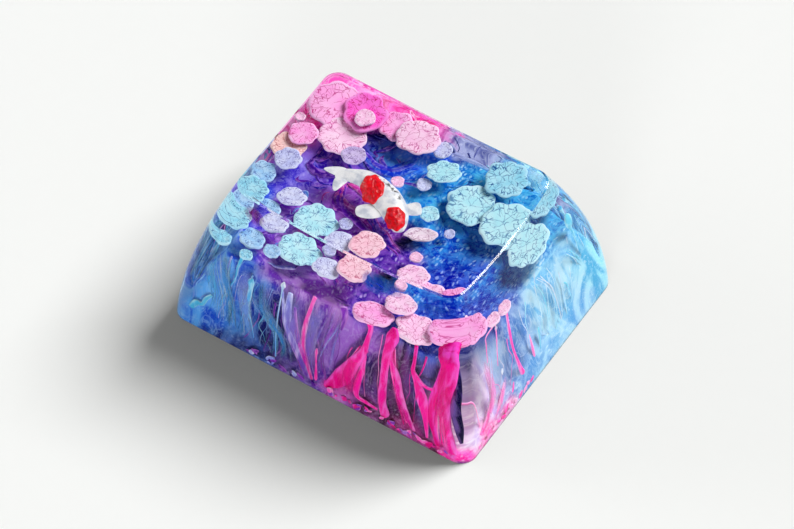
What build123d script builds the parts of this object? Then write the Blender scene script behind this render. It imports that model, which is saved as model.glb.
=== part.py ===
"""Artisan keycap: a clear casting over a dark base, with a koi, lily pads and plumes cast in."""
import os
from math import atan2, degrees, radians, tan

from build123d import *

# All sizes are in millimetres. X runs along the cap, Y to the back and Z up from the rim.

# Outside of the cap
cap_length = 22.9
cap_depth = 18.2
corner_height = 12.0
top_length = 16.7
top_depth = 11.7
end_bulge = 0.47
front_bulge = 0.76
edge_radius = 1.1

# Dish in the top, measured down from the corners
dish_along = 0.49
dish_across = 0.53

# Base casting, tapering from the rim up to the bed that the pond scene stands on
clear_wall_ends = 1.75
clear_wall_front = 1.1
base_length = cap_length - 2 * clear_wall_ends
base_depth = cap_depth - 2 * clear_wall_front
base_corner = 3.0
bed_height = 6.2
draft_angle = 21

# Hollow under the base casting
skirt_ends = 0.7
skirt_front = 0.6
mouth_length = base_length - 2 * skirt_ends
mouth_depth = base_depth - 2 * skirt_front
mouth_corner = base_corner - skirt_front
roof_thickness = 1.0

# Post with the cross socket that pushes onto a switch stem
post_diameter = 5.5
post_recess = 0.6
socket_depth = 4.0
socket_span = 4.1
socket_slot_along = 1.17
socket_slot_across = 1.29

# Lily pads floating above the bed, on stepped levels so that neighbours pass over each other
pad_clearance = 0.9
pad_step = 0.42
pad_thickness = 0.26
pad_cover = 0.28
lobe_notch = 0.13
smallest_lobed_radius = 0.7
small_pad_sides = 8

# Plumes hanging in the clear wall beside the base casting
plume_foot = 0.7
plume_cover = 0.22
plume_sides = 8
plume_bite = 0.03
plume_shift = 0.4
plume_set_off = 0.2

# Koi, swimming above the pads
koi_lift = 2.2
koi_sides = 12
koi_fin_thickness = 0.2
patch_rise = 0.14


# Places worked out from the sizes above
def half_at(base, top, bulge, height):
    """Half the width of a bulging side face at a height above the rim."""
    share = height / corner_height
    return base / 2 + (top - base) / 2 * share + 4 * bulge * share * (1 - share)


def base_half_at(base, height):
    """Half the width of the base casting at a height above the rim."""
    return base / 2 - height * tan(radians(draft_angle))


def held_inside(place, limit):
    """A place kept at or inside a limit on both sides of the middle."""
    return max(-limit, min(limit, place))


dish_low = corner_height - dish_along - dish_across
dish_radius_along = ((top_length / 2) ** 2 + dish_along**2) / (2 * dish_along)
dish_radius_across = ((top_depth / 2) ** 2 + dish_across**2) / (2 * dish_across)
roof_height = bed_height - roof_thickness
pad_level = bed_height + pad_clearance
pond_half_length = half_at(cap_length, top_length, end_bulge, pad_level)
pond_half_depth = half_at(cap_depth, top_depth, front_bulge, pad_level)
koi_level = bed_height + koi_lift


def bulging_profile(base, top, bulge):
    """Outline of one view of the cap: flat rim, bulging sides and a flat top to be dished."""
    middle = half_at(base, top, bulge, corner_height / 2)
    Line((-base / 2, 0), (base / 2, 0))
    ThreePointArc((base / 2, 0), (middle, corner_height / 2), (top / 2, corner_height))
    Line((top / 2, corner_height), (-top / 2, corner_height))
    ThreePointArc((-top / 2, corner_height), (-middle, corner_height / 2), (-base / 2, 0))


# Solid outside of the base casting
with BuildPart() as base_form:
    with BuildSketch():
        RectangleRounded(base_length, base_depth, base_corner)
    extrude(amount=bed_height, taper=draft_angle)


# Base casting: the same form with the hollow, the post and the cross socket
with BuildPart() as base_casting:
    add(base_form.part)
    with BuildSketch():
        RectangleRounded(mouth_length, mouth_depth, mouth_corner)
    extrude(amount=roof_height, taper=draft_angle, mode=Mode.SUBTRACT)
    with BuildSketch(Plane.XY.offset(post_recess)):
        Circle(post_diameter / 2)
    extrude(amount=roof_height - post_recess + roof_thickness / 2)
    with BuildSketch(Plane.XY.offset(post_recess)):
        Rectangle(socket_span, socket_slot_along)
        Rectangle(socket_slot_across, socket_span)
    extrude(amount=socket_depth, mode=Mode.SUBTRACT)
base_casting.part.label = "base_casting"


# Koi, from the tail to the nose: along X, along Y, half width, half height
koi_stations = [
    (-4.15, 0.42, 0.34, 0.16),
    (-3.55, 0.62, 0.56, 0.32),
    (-2.75, 0.88, 0.72, 0.46),
    (-1.80, 0.68, 0.92, 0.55),
    (-0.75, 0.26, 1.04, 0.58),
    (0.10, -0.20, 0.96, 0.55),
    (0.72, -0.76, 0.82, 0.49),
    (1.22, -1.34, 0.58, 0.38),
    (1.52, -1.74, 0.26, 0.20),
]
koi_tail = [(-3.60, 1.05), (-4.45, 0.80), (-5.40, 0.12), (-4.50, -0.02), (-3.82, -1.12), (-3.45, 0.08)]
koi_left_fin = [(-0.55, -0.50), (-1.30, -1.18), (-1.86, -1.46), (-1.78, -1.92), (-1.28, -1.98), (-0.10, -1.05)]
koi_right_fin = [(0.75, 0.30), (1.33, 1.20), (1.76, 0.64), (1.74, 0.12), (1.15, -0.20)]

# Red patches: along X, along Y, half length, half width, turn
koi_patches = {
    "koi_back_patch": (-1.75, 0.28, 1.05, 0.78, -52),
    "koi_head_patch": (0.80, -1.02, 0.86, 0.62, -54),
}


def koi_trunk(swell):
    """Trunk of the koi, thickened all round by the swell."""
    with BuildPart() as trunk:
        for index, (x, y, half_width, half_height) in enumerate(koi_stations):
            before = koi_stations[max(index - 1, 0)]
            after = koi_stations[min(index + 1, len(koi_stations) - 1)]
            heading = Vector(after[0] - before[0], after[1] - before[1], 0)
            station = Plane(origin=(x, y, koi_level), x_dir=(-heading.Y, heading.X, 0), z_dir=heading)
            girth = [Vector(1, 0).rotate(Axis.Z, 360 * corner / koi_sides) for corner in range(koi_sides)]
            with BuildSketch(station):
                with BuildLine():
                    Polyline(
                        *[(spoke.X * (half_width + swell), spoke.Y * (half_height + swell)) for spoke in girth],
                        close=True,
                    )
                make_face()
        loft(ruled=True)
    return trunk.part


bare_trunk = koi_trunk(0)
swollen_trunk = koi_trunk(patch_rise)

with BuildPart() as koi_body:
    add(bare_trunk)
    with BuildSketch(Plane.XY.offset(koi_level - koi_fin_thickness / 2)):
        for fin in (koi_tail, koi_left_fin, koi_right_fin):
            with BuildLine():
                Polyline(*fin, close=True)
            make_face()
    extrude(amount=koi_fin_thickness)
koi_body.part.label = "koi_body"


def koi_patch(name, x, y, half_length, half_width, turn):
    """One raised red patch that lies on the koi's back."""
    with BuildPart() as patch:
        add(swollen_trunk)
        with BuildSketch(Plane.XY.offset(koi_level + koi_fin_thickness / 2)):
            with Locations((x, y)):
                Ellipse(half_length, half_width, rotation=turn)
        extrude(amount=koi_lift, mode=Mode.INTERSECT)
        add(koi_body.part, mode=Mode.SUBTRACT)
    patch.part.label = name
    return patch.part


# Lily pads: share of the pond's half length, share of its half depth, radius, level, lobes
lily_pads = {
    "pink_pad_1": (-0.83, 0.73, 1.45, 0, 8),
    "pink_pad_2": (-0.61, 0.79, 1.15, 1, 7),
    "pink_pad_3": (-0.37, 0.82, 0.95, 0, 7),
    "pink_pad_4": (-0.19, 0.77, 1.30, 1, 8),
    "pink_pad_5": (-0.62, 0.44, 1.45, 0, 9),
    "pink_pad_6": (-0.55, 0.67, 0.65, 2, 0),
    "pink_pad_7": (-0.84, 0.265, 0.75, 1, 6),
    "pink_pad_8": (-0.94, 0.42, 0.34, 0, 0),
    "peach_pad": (-0.88, 0.095, 0.90, 0, 7),
    "lilac_pad_1": (0.0, 0.78, 0.62, 0, 0),
    "lilac_pad_2": (-0.80, -0.04, 0.85, 1, 7),
    "lilac_pad_3": (-0.60, -0.37, 0.70, 1, 6),
    "lilac_pad_4": (-0.185, -0.36, 0.45, 1, 0),
    "lilac_pad_5": (-0.135, -0.56, 0.80, 1, 6),
    "lilac_pad_6": (0.05, 0.385, 0.48, 0, 0),
    "lilac_pad_7": (0.41, 0.045, 0.35, 0, 0),
    "blue_pad_1": (-0.885, -0.265, 0.85, 0, 7),
    "blue_pad_2": (-0.85, -0.505, 1.10, 1, 8),
    "blue_pad_3": (-0.855, -0.765, 0.60, 0, 0),
    "blue_pad_4": (-0.685, -0.605, 0.85, 0, 7),
    "blue_pad_5": (-0.66, -0.825, 0.45, 0, 0),
    "blue_pad_6": (-0.51, -0.685, 0.55, 1, 0),
    "cyan_pad_1": (-0.37, -0.465, 1.40, 0, 8),
    "cyan_pad_2": (0.115, 0.565, 0.85, 1, 7),
    "cyan_pad_3": (0.22, 0.12, 0.60, 1, 0),
    "cyan_pad_4": (0.405, 0.40, 1.50, 0, 9),
    "cyan_pad_5": (0.495, 0.775, 1.40, 1, 8),
    "cyan_pad_6": (0.685, 0.37, 1.50, 1, 9),
    "salmon_pad": (0.02, -0.465, 0.95, 2, 7),
    "pale_pad_1": (-0.46, 0.30, 0.60, 1, 0),
    "pale_pad_2": (-0.11, 0.29, 0.42, 0, 0),
    "pale_pad_3": (0.255, -0.10, 0.72, 0, 6),
    "pink_bud": (0.345, -0.345, 0.42, 1, 0),
    "front_pad_1": (0.41, -0.54, 0.95, 1, 7),
    "front_pad_2": (0.28, -0.76, 1.10, 0, 8),
    "front_pad_3": (0.575, -0.685, 1.05, 0, 7),
    "front_pad_4": (0.785, -0.595, 1.35, 1, 8),
    "front_pad_5": (0.89, -0.36, 0.42, 0, 0),
    "front_pad_6": (0.90, -0.215, 0.42, 0, 0),
}

outward = {"front": (0, -1), "back": (0, 1), "left": (-1, 0), "right": (1, 0)}

# Plumes that hang from a pad: side of the cap, place of the foot along it, top and foot radius
pad_plumes = {
    "front_pad_2": ("front", -0.06, 0.42, 0.28),
    "front_pad_3": ("front", 0.33, 0.40, 0.30),
    "front_pad_4": ("front", 0.74, 0.48, 0.32),
    "front_pad_5": ("right", -0.55, 0.20, 0.26),
    "pink_pad_1": ("left", 0.62, 0.48, 0.36),
    "pink_pad_3": ("back", -0.40, 0.42, 0.30),
    "blue_pad_1": ("left", -0.20, 0.40, 0.30),
    "blue_pad_5": ("front", -0.66, 0.30, 0.24),
}

# Plumes that stand clear of the pads: side, place of the top, place of the foot, top height, radii
free_plumes = {
    "blue_plume_1": ("front", -0.50, -0.56, 6.0, 0.32, 0.24),
    "blue_plume_2": ("front", -0.30, -0.40, 6.3, 0.34, 0.24),
    "violet_plume_1": ("front", -0.08, -0.28, 6.2, 0.32, 0.26),
    "violet_plume_2": ("back", -0.02, 0.06, 6.2, 0.36, 0.28),
    "cyan_plume_1": ("right", 0.10, 0.02, 6.0, 0.38, 0.32),
    "cyan_plume_2": ("right", 0.50, 0.46, 6.3, 0.46, 0.38),
    "cyan_plume_3": ("back", 0.56, 0.62, 6.3, 0.40, 0.30),
    "pink_plume": ("left", 0.24, 0.20, 6.1, 0.38, 0.30),
}


def wall_place(side, along, height, radius):
    """Middle of the clear wall on one side of the cap, at a share of that side's half width."""
    half_length = half_at(cap_length, top_length, end_bulge, height)
    half_depth = half_at(cap_depth, top_depth, front_bulge, height)
    middle_x = (half_length + base_half_at(base_length, height)) / 2
    middle_y = (half_depth + base_half_at(base_depth, height)) / 2
    x_limit = half_length - edge_radius / 2 - plume_cover - radius
    y_limit = half_depth - edge_radius / 2 - plume_cover - radius
    if side in ("front", "back"):
        x = held_inside(along * half_length, x_limit)
        y = middle_y if side == "back" else -middle_y
    else:
        x = middle_x if side == "right" else -middle_x
        y = held_inside(along * half_depth, y_limit)
    return x, y


def pad_place(along, across, radius):
    """Middle of a pad, kept far enough in from the outside of the cap."""
    x = held_inside(along * pond_half_length, pond_half_length - radius - pad_cover)
    y = held_inside(across * pond_half_depth, pond_half_depth - radius - pad_cover)
    return x, y


def pad_outline(x, y, radius, lobes):
    """Corners of a pad's scalloped outline: a notch and a crown for each lobe."""
    corners = []
    for lobe in range(lobes):
        for turn, reach in ((0, 1 - lobe_notch), (0.5, 1)):
            spoke = Vector(radius * reach, 0).rotate(Axis.Z, 360 * (lobe + turn) / lobes)
            corners.append(Vector(x, y) + spoke)
    return corners


def plume_body(top_place, top_height, top_radius, foot_place, foot_radius):
    """A straight plume that tapers from its top down to its foot."""
    top = Vector(*top_place, top_height)
    drop_line = Vector(*foot_place, plume_foot) - top
    narrowing = degrees(atan2(top_radius - foot_radius, drop_line.length))
    with BuildPart() as plume:
        with BuildSketch(Plane(origin=top, z_dir=drop_line)):
            RegularPolygon(top_radius, plume_sides)
        extrude(amount=drop_line.length, taper=narrowing)
    return plume.part


def lily_pad(name, along, across, radius, level, lobes):
    """One lily pad without its plume."""
    x, y = pad_place(along, across, radius)
    with BuildPart() as pad:
        with BuildSketch(Plane.XY.offset(pad_level + level * pad_step)):
            if radius < smallest_lobed_radius:
                with Locations((x, y)):
                    RegularPolygon(radius, small_pad_sides)
            else:
                with BuildLine():
                    Polyline(*pad_outline(x, y, radius, lobes), close=True)
                make_face()
        extrude(amount=pad_thickness)
    pad.part.label = name
    return pad.part


def hanging_plume(along, across, radius, level, side, foot_along, top_radius, foot_radius):
    """The plume that hangs from the outer part of a pad into the clear wall."""
    x, y = pad_place(along, across, radius)
    outward_x, outward_y = outward[side]
    bed_half = base_half_at(base_depth if outward_y else base_length, bed_height)
    pad_reach = x * outward_x + y * outward_y
    shift = max(plume_shift * radius, bed_half + plume_set_off - pad_reach)
    top_place = (x + outward_x * shift, y + outward_y * shift)
    top_height = pad_level + level * pad_step + plume_bite
    foot_place = wall_place(side, foot_along, plume_foot, foot_radius)
    return plume_body(top_place, top_height, top_radius, foot_place, foot_radius)


def pad_with_plume(pad, plume):
    """A pad and the plume that hangs from it, as one drop of pigment."""
    with BuildPart() as drop:
        add(pad)
        add(plume)
    drop.part.label = pad.label
    return drop.part


def free_plume(name, side, top_along, foot_along, top_height, top_radius, foot_radius):
    """One plume that stands in the clear wall, free of the pads."""
    top_place = wall_place(side, top_along, top_height, top_radius)
    foot_place = wall_place(side, foot_along, plume_foot, foot_radius)
    plume = plume_body(top_place, top_height, top_radius, foot_place, foot_radius)
    plume.label = name
    return plume


patches = [koi_patch(patch_name, *patch_values) for patch_name, patch_values in koi_patches.items()]

drops = []
for pad_name, pad_values in lily_pads.items():
    drop = lily_pad(pad_name, *pad_values)
    if pad_name in pad_plumes:
        drop = pad_with_plume(drop, hanging_plume(*pad_values[:4], *pad_plumes[pad_name]))
    drops.append(drop)
for plume_name, plume_values in free_plumes.items():
    drops.append(free_plume(plume_name, *plume_values))

# Room that the koi and its patches take up together
with BuildPart() as koi_room:
    add(koi_body.part)
    add(patches)


# Clear casting: the outside, the dish, the pocket for the base and a close fit round every inclusion
with BuildPart() as clear_casting:
    with BuildSketch(Plane.XZ):
        with BuildLine():
            bulging_profile(cap_length, top_length, end_bulge)
        make_face()
    extrude(amount=cap_depth, both=True)
    with BuildSketch(Plane.YZ):
        with BuildLine():
            bulging_profile(cap_depth, top_depth, front_bulge)
        make_face()
    extrude(amount=cap_length, both=True, mode=Mode.INTERSECT)
    upright_edges = clear_casting.edges().filter_by(
        lambda edge: abs((edge @ 1).Z - (edge @ 0).Z) > corner_height / 2
    )
    fillet(upright_edges, radius=edge_radius)
    with BuildSketch(Plane.YZ):
        with Locations((0, dish_low + dish_radius_across)):
            Circle(dish_radius_across)
        with Locations((0, dish_low)):
            Rectangle(cap_depth, corner_height, mode=Mode.INTERSECT)
    revolve(axis=Axis((0, 0, dish_low + dish_radius_along), (0, 1, 0)), mode=Mode.SUBTRACT)
    add(base_form.part, mode=Mode.SUBTRACT)
    add(koi_room.part, mode=Mode.SUBTRACT)
    add(drops, mode=Mode.SUBTRACT)
clear_casting.part.label = "clear_casting"

os.makedirs("parts", exist_ok=True)
for piece in [clear_casting.part, base_casting.part, koi_body.part, *patches, *drops]:
    export_step(piece, f"parts/{piece.label}.step")
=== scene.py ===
"""Resin keycap: a koi pond of pigment cast in a clear cap over a dark base."""

import math
import random

import bmesh
import bpy
from bpy.props import FloatProperty, FloatVectorProperty, IntProperty, PointerProperty
from mathutils import Matrix, Vector, noise


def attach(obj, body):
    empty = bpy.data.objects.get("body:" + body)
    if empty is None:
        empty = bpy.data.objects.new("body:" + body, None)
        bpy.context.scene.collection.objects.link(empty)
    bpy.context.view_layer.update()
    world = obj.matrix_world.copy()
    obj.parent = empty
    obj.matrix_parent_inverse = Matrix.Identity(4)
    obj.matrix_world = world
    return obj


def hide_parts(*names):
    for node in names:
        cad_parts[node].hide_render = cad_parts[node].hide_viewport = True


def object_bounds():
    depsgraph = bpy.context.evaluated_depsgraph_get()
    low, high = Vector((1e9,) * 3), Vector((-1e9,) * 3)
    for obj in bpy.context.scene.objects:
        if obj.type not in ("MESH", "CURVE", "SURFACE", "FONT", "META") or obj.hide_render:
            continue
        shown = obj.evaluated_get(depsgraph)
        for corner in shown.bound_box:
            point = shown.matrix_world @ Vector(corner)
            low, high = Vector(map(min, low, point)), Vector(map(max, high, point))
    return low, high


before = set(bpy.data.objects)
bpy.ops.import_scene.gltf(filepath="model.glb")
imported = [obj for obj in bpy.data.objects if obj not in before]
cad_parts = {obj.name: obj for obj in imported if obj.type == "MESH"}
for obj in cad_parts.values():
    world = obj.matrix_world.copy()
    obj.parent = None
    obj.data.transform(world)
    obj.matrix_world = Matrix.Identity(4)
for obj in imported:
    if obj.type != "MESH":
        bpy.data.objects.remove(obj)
cad_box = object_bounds()

bl_info = {
    "name": "Resin keycap",
    "version": (1, 0, 0),
    "blender": (4, 5, 0),
    "location": "View3D > Sidebar > Keycap",
    "description": "Builds a clear keycap with a koi pond cast inside it",
    "category": "Object",
}

MM = 0.001
UP = Vector((0.0, 0.0, 1.0))
CAMERA_AZIMUTH = 32.758


# Colours

def srgb(red, green, blue):
    """A colour given from 0 to 255 as it looks, in the linear values that shaders use."""
    linear = []
    for level in (red / 255, green / 255, blue / 255):
        linear.append(level / 12.92 if level <= 0.04045 else ((level + 0.055) / 1.055) ** 2.4)
    return (*linear, 1.0)


HOT_PINK = srgb(255, 66, 196)
PINK = srgb(255, 142, 220)
LIGHT_PINK = srgb(255, 188, 232)
MAGENTA = srgb(238, 24, 170)
ROSE = srgb(226, 76, 182)
ORCHID = srgb(176, 96, 212)
SALMON = srgb(252, 184, 208)
PEACH = srgb(250, 190, 186)
LILAC = srgb(178, 184, 240)
PALE_LILAC = srgb(194, 200, 245)
VIOLET = srgb(98, 46, 166)
PURPLE = srgb(140, 56, 184)
NAVY = srgb(20, 14, 70)
DEEP_BLUE = srgb(18, 52, 160)
BLUE = srgb(26, 104, 192)
SKY_BLUE = srgb(92, 170, 222)
PALE_BLUE = srgb(136, 190, 240)
CYAN = srgb(124, 204, 234)
PALE_CYAN = srgb(156, 226, 243)
HAZE = srgb(168, 214, 238)
GREY_LILAC = srgb(112, 122, 184)
MILK = srgb(222, 232, 246)


# Settings that a user would change

def length(name, description, millimetres):
    """A length property with its default given in millimetres."""
    return FloatProperty(
        name=name, description=description, default=millimetres * MM, unit="LENGTH", precision=5
    )


def angle(name, description, degrees):
    """An angle property with its default given in degrees."""
    return FloatProperty(name=name, description=description, default=math.radians(degrees), subtype="ANGLE")


def number(name, description, default, least=0.0, most=1000.0):
    """A plain number property with its limits."""
    return FloatProperty(name=name, description=description, default=default, min=least, max=most)


def paint(name, description, colour):
    """A colour property."""
    return FloatVectorProperty(
        name=name, description=description, default=colour, size=4, min=0.0, max=1.0, subtype="COLOR"
    )


class CapSettings(bpy.types.PropertyGroup):
    """Sizes of the clear casting and of the base casting under it."""

    rim_length: length("Rim length", "Length of the cap at its rim", (cad_box[1][0] - cad_box[0][0]) / MM)
    rim_depth: length("Rim depth", "Depth of the cap at its rim", (cad_box[1][1] - cad_box[0][1]) / MM)
    corner_height: length("Corner height", "Height of the four corners of the top", 12.0)
    top_length: length("Top length", "Length of the top between its corners", 16.7)
    top_depth: length("Top depth", "Depth of the top between its corners", 11.7)
    end_bulge: length("End bulge", "How far the two ends bulge at half height", 0.47)
    front_bulge: length("Front bulge", "How far front and back bulge at half height", 0.76)
    edge_radius: length("Edge radius", "Rounding of the four upright edges", 1.1)
    dish_along: length("Dish along", "How far the top dips along its length", 0.49)
    dish_across: length("Dish across", "How far the top dips across its depth", 0.53)
    ridge_width: length("Ridge width", "Polished edge round the top", 0.10)
    base_length: length("Base length", "Length of the base casting at the rim", 19.4)
    base_depth: length("Base depth", "Depth of the base casting at the rim", 16.0)
    base_corner: length("Base corner", "Corner radius of the base casting at the rim", 3.0)
    bed_height: length("Bed height", "Height of the bed under the pond", 6.2)
    draft: angle("Draft", "Lean of the base casting's walls", 21)
    refraction: number("Refraction", "Refractive index of the clear resin", 1.5, 1.0, 2.0)


class PondSettings(bpy.types.PropertyGroup):
    """Pigment floating in the clear casting."""

    pad_thickness: length("Pad thickness", "Thickness of a lily pad", 0.30)
    pad_wobble: number("Pad wobble", "Unevenness of a pad's outline", 0.16, 0.0, 0.3)
    relief: length("Bed relief", "Height of the folds in the pigment bed", 0.42)
    strand_radius: length("Strand radius", "Radius of a usual fine strand", 0.055)
    seed: IntProperty(name="Seed", description="Start of the random flow of pigment", default=11)
    swirl_seed: IntProperty(
        name="Swirl seed", description="Start of the swirls in the ink", default=1, min=1
    )


class KoiSettings(bpy.types.PropertyGroup):
    """Colours and place of the koi."""

    white: paint("White", "Body of the koi", srgb(238, 238, 240))
    red: paint("Red", "Patches on the koi", srgb(240, 4, 22))
    ink: paint("Ink", "Dark marks along the back", srgb(34, 32, 40))
    level: length("Level", "Height of the koi's middle line", 8.4)


class StageSettings(bpy.types.PropertyGroup):
    """Floor, lamps and camera."""

    floor: paint("Floor", "Colour of the floor", srgb(249, 250, 248))
    sky: number("Sky", "Level of the light from all round", 0.07)
    key: number("Key", "Strength of the soft lamp from the back", 3.46)
    fill: number("Fill", "Strength of the low lamp from the front", 2.8)
    side: number("Side", "Strength of the low lamp from the left", 1.3)
    glint: number("Glint", "Strength of the small lamps that draw the front ridge", 0.022)
    azimuth: angle("Camera azimuth", "Turn of the camera from the front", CAMERA_AZIMUTH)
    elevation: angle("Camera elevation", "Height angle of the camera", 52.722)
    distance: length("Camera distance", "Distance from the camera to its target", 288.834)
    lens: number("Lens", "Focal length in millimetres", 204.03, 1.0)


# Node helpers

WHITE = (1.0, 1.0, 1.0, 1.0)


def add_node(tree, kind, inputs=None, **settings):
    """Adds a shader node, sets its options, and links or fills its inputs."""
    node = tree.nodes.new(kind)
    for option, value in settings.items():
        setattr(node, option, value)
    for socket, value in (inputs or {}).items():
        if isinstance(value, bpy.types.NodeSocket):
            tree.links.new(value, node.inputs[socket])
        else:
            node.inputs[socket].default_value = value
    return node


def calculate(tree, operation, first, second=0.0):
    """The result of a math node."""
    return add_node(tree, "ShaderNodeMath", {0: first, 1: second}, operation=operation).outputs[0]


def times(tree, first, second):
    """The product of two values."""
    return calculate(tree, "MULTIPLY", first, second)


def highest(tree, first, second):
    """The higher of two values."""
    return calculate(tree, "MAXIMUM", first, second)


def vector_math(tree, operation, first, second):
    """The vector that a vector math node gives."""
    node = add_node(tree, "ShaderNodeVectorMath", {0: first, 1: second}, operation=operation)
    return node.outputs["Vector"]


def between(tree, value, low, high, start=0.0, end=1.0):
    """A value spread smoothly from one range to another."""
    node = add_node(
        tree,
        "ShaderNodeMapRange",
        {"Value": value, "From Min": low, "From Max": high, "To Min": start, "To Max": end},
        interpolation_type="SMOOTHSTEP",
    )
    return node.outputs["Result"]


def blend_colours(tree, factor, first, second, how="MIX"):
    """The colour between two others."""
    inputs = {0: factor, 6: first, 7: second}
    return add_node(tree, "ShaderNodeMix", inputs, data_type="RGBA", blend_type=how).outputs[2]


def deepened(tree, colour, power):
    """A colour made deeper (power over 1) or paler (power under 1)."""
    return add_node(tree, "ShaderNodeGamma", {"Color": colour, "Gamma": power}).outputs[0]


def shades(tree, factor, colour, first_power, second_power):
    """Two depths of one colour, blended by a factor."""
    first = deepened(tree, colour, first_power)
    return blend_colours(tree, factor, first, deepened(tree, colour, second_power))


def milky(tree, colour, share):
    """A colour made pale and then mixed with a share of milk."""
    return blend_colours(tree, share, deepened(tree, colour, 0.5), MILK)


def cloud(tree, place, scale, detail=2.0, distortion=0.0, output="Fac"):
    """A noise at a place."""
    inputs = {"Vector": place, "Scale": scale, "Detail": detail, "Distortion": distortion}
    return add_node(tree, "ShaderNodeTexNoise", inputs).outputs[output]


def edge_distance(tree, place, scale):
    """The distance from a place to the edge of its cell."""
    inputs = {"Vector": place, "Scale": scale}
    return add_node(tree, "ShaderNodeTexVoronoi", inputs, feature="DISTANCE_TO_EDGE").outputs["Distance"]


def thin_lines(tree, field, width, strength):
    """Fine lines along the middle level of a noise field."""
    gap = calculate(tree, "ABSOLUTE", calculate(tree, "SUBTRACT", field, 0.5))
    return between(tree, gap, 0.0, width, strength, 0.0)


def object_place(tree):
    """The place of a point in the keycap's own frame."""
    return add_node(tree, "ShaderNodeTexCoord").outputs["Object"]


def scaled_place(tree, place, x, y, z):
    """A place stretched along the three axes."""
    return add_node(tree, "ShaderNodeMapping", {"Vector": place, "Scale": (x, y, z)}).outputs["Vector"]


def axis_of(tree, vector, axis):
    """One of the three values of a vector."""
    return add_node(tree, "ShaderNodeSeparateXYZ", {0: vector}).outputs[axis]


def facing_up(tree):
    """How far the surface faces up, from -1 to 1."""
    return axis_of(tree, add_node(tree, "ShaderNodeNewGeometry").outputs["Normal"], "Z")


def attribute(tree, name, output="Fac"):
    """A value kept on the vertices."""
    return add_node(tree, "ShaderNodeAttribute", attribute_name=name).outputs[output]


def add_bump(tree, shader, height, strength, distance):
    """Gives a shader a bump."""
    bump = add_node(tree, "ShaderNodeBump", {"Height": height, "Strength": strength, "Distance": distance})
    tree.links.new(bump.outputs["Normal"], shader.inputs["Normal"])


def start_material(name, roughness=0.5, gloss=0.5):
    """A new material with its node tree and its main shader."""
    material = bpy.data.materials.new(name)
    material.use_nodes = True
    tree = material.node_tree
    shader = tree.nodes["Principled BSDF"]
    shader.inputs["Roughness"].default_value = roughness
    shader.inputs["Specular IOR Level"].default_value = gloss
    return material, tree, shader


# Materials

RESIN_SHADOW = (0.02, 0.02, 0.02, 1.0)
RESIN_SHINE = (0.15, 0.15, 0.15, 1.0)
RIDGE_BLUR = 0.12
PIGMENT_ROUGHNESS = 0.9


def clear_resin_material(refraction):
    """Polished clear resin that lets the light through to the pigment."""
    material, tree, shader = start_material("clear_resin")
    shader.inputs["Base Color"].default_value = WHITE
    shader.inputs["Transmission Weight"].default_value = 1.0
    shader.inputs["IOR"].default_value = refraction
    upward = facing_up(tree)
    on_ridge = times(tree, between(tree, upward, 0.6, 0.75), between(tree, upward, 0.92, 0.96, 1.0, 0.0))
    tree.links.new(blend_colours(tree, on_ridge, RESIN_SHINE, WHITE), shader.inputs["Specular Tint"])
    polish = between(tree, cloud(tree, object_place(tree), 700.0, detail=3.0), 0.55, 0.8, 0.0, 0.02)
    blur = calculate(tree, "ADD", polish, times(tree, on_ridge, RIDGE_BLUR))
    tree.links.new(blur, shader.inputs["Roughness"])
    path = add_node(tree, "ShaderNodeLightPath")
    unseen = highest(tree, path.outputs["Is Shadow Ray"], path.outputs["Is Diffuse Ray"])
    leaving = add_node(tree, "ShaderNodeNewGeometry").outputs["Backfacing"]
    thinned = blend_colours(tree, leaving, RESIN_SHADOW, WHITE)
    passing = add_node(tree, "ShaderNodeBsdfTransparent", {"Color": thinned})
    mixed = add_node(tree, "ShaderNodeMixShader", {0: unseen, 1: shader.outputs[0], 2: passing.outputs[0]})
    tree.links.new(mixed.outputs[0], tree.nodes["Material Output"].inputs["Surface"])
    return material


def bed_flow(tree, place, tint):
    """Colours of the pond bed: folds, small dabs and threads of ink."""
    to_the_right = axis_of(tree, place, "X")
    folds = cloud(tree, place, 430.0, detail=6.0, distortion=2.2)
    ripples = cloud(tree, place, 1500.0, detail=3.0, distortion=1.6)
    rippled = between(tree, to_the_right, -0.002, 0.003, 0.12, 0.55)
    mixed = add_node(tree, "ShaderNodeMix", {0: rippled, 2: folds, 3: ripples}, data_type="FLOAT")
    colour = shades(tree, between(tree, mixed.outputs[0], 0.40, 0.60), tint, 1.75, 0.74)
    shift = vector_math(tree, "MULTIPLY", cloud(tree, place, 500.0, output="Color"), (0.0011, 0.0011, 0.0))
    moved = scaled_place(tree, vector_math(tree, "ADD", place, shift), 1.0, 0.5, 1.0)
    dabs = add_node(tree, "ShaderNodeTexVoronoi", {"Vector": moved, "Scale": 4200.0}).outputs
    chance = add_node(tree, "ShaderNodeSeparateColor", {0: dabs["Color"]}).outputs[0]
    round_dab = between(tree, dabs["Distance"], 0.20, 0.44, 1.0, 0.0)
    dab = times(tree, round_dab, between(tree, chance, 0.3, 0.8))
    dab = times(tree, dab, between(tree, to_the_right, -0.003, 0.002, 0.4, 1.0))
    colour = blend_colours(tree, dab, colour, milky(tree, tint, 0.25))
    threads = thin_lines(tree, cloud(tree, place, 620.0, detail=3.0, distortion=3.0), 0.014, 0.5)
    return blend_colours(tree, threads, colour, milky(tree, tint, 0.2))


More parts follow.
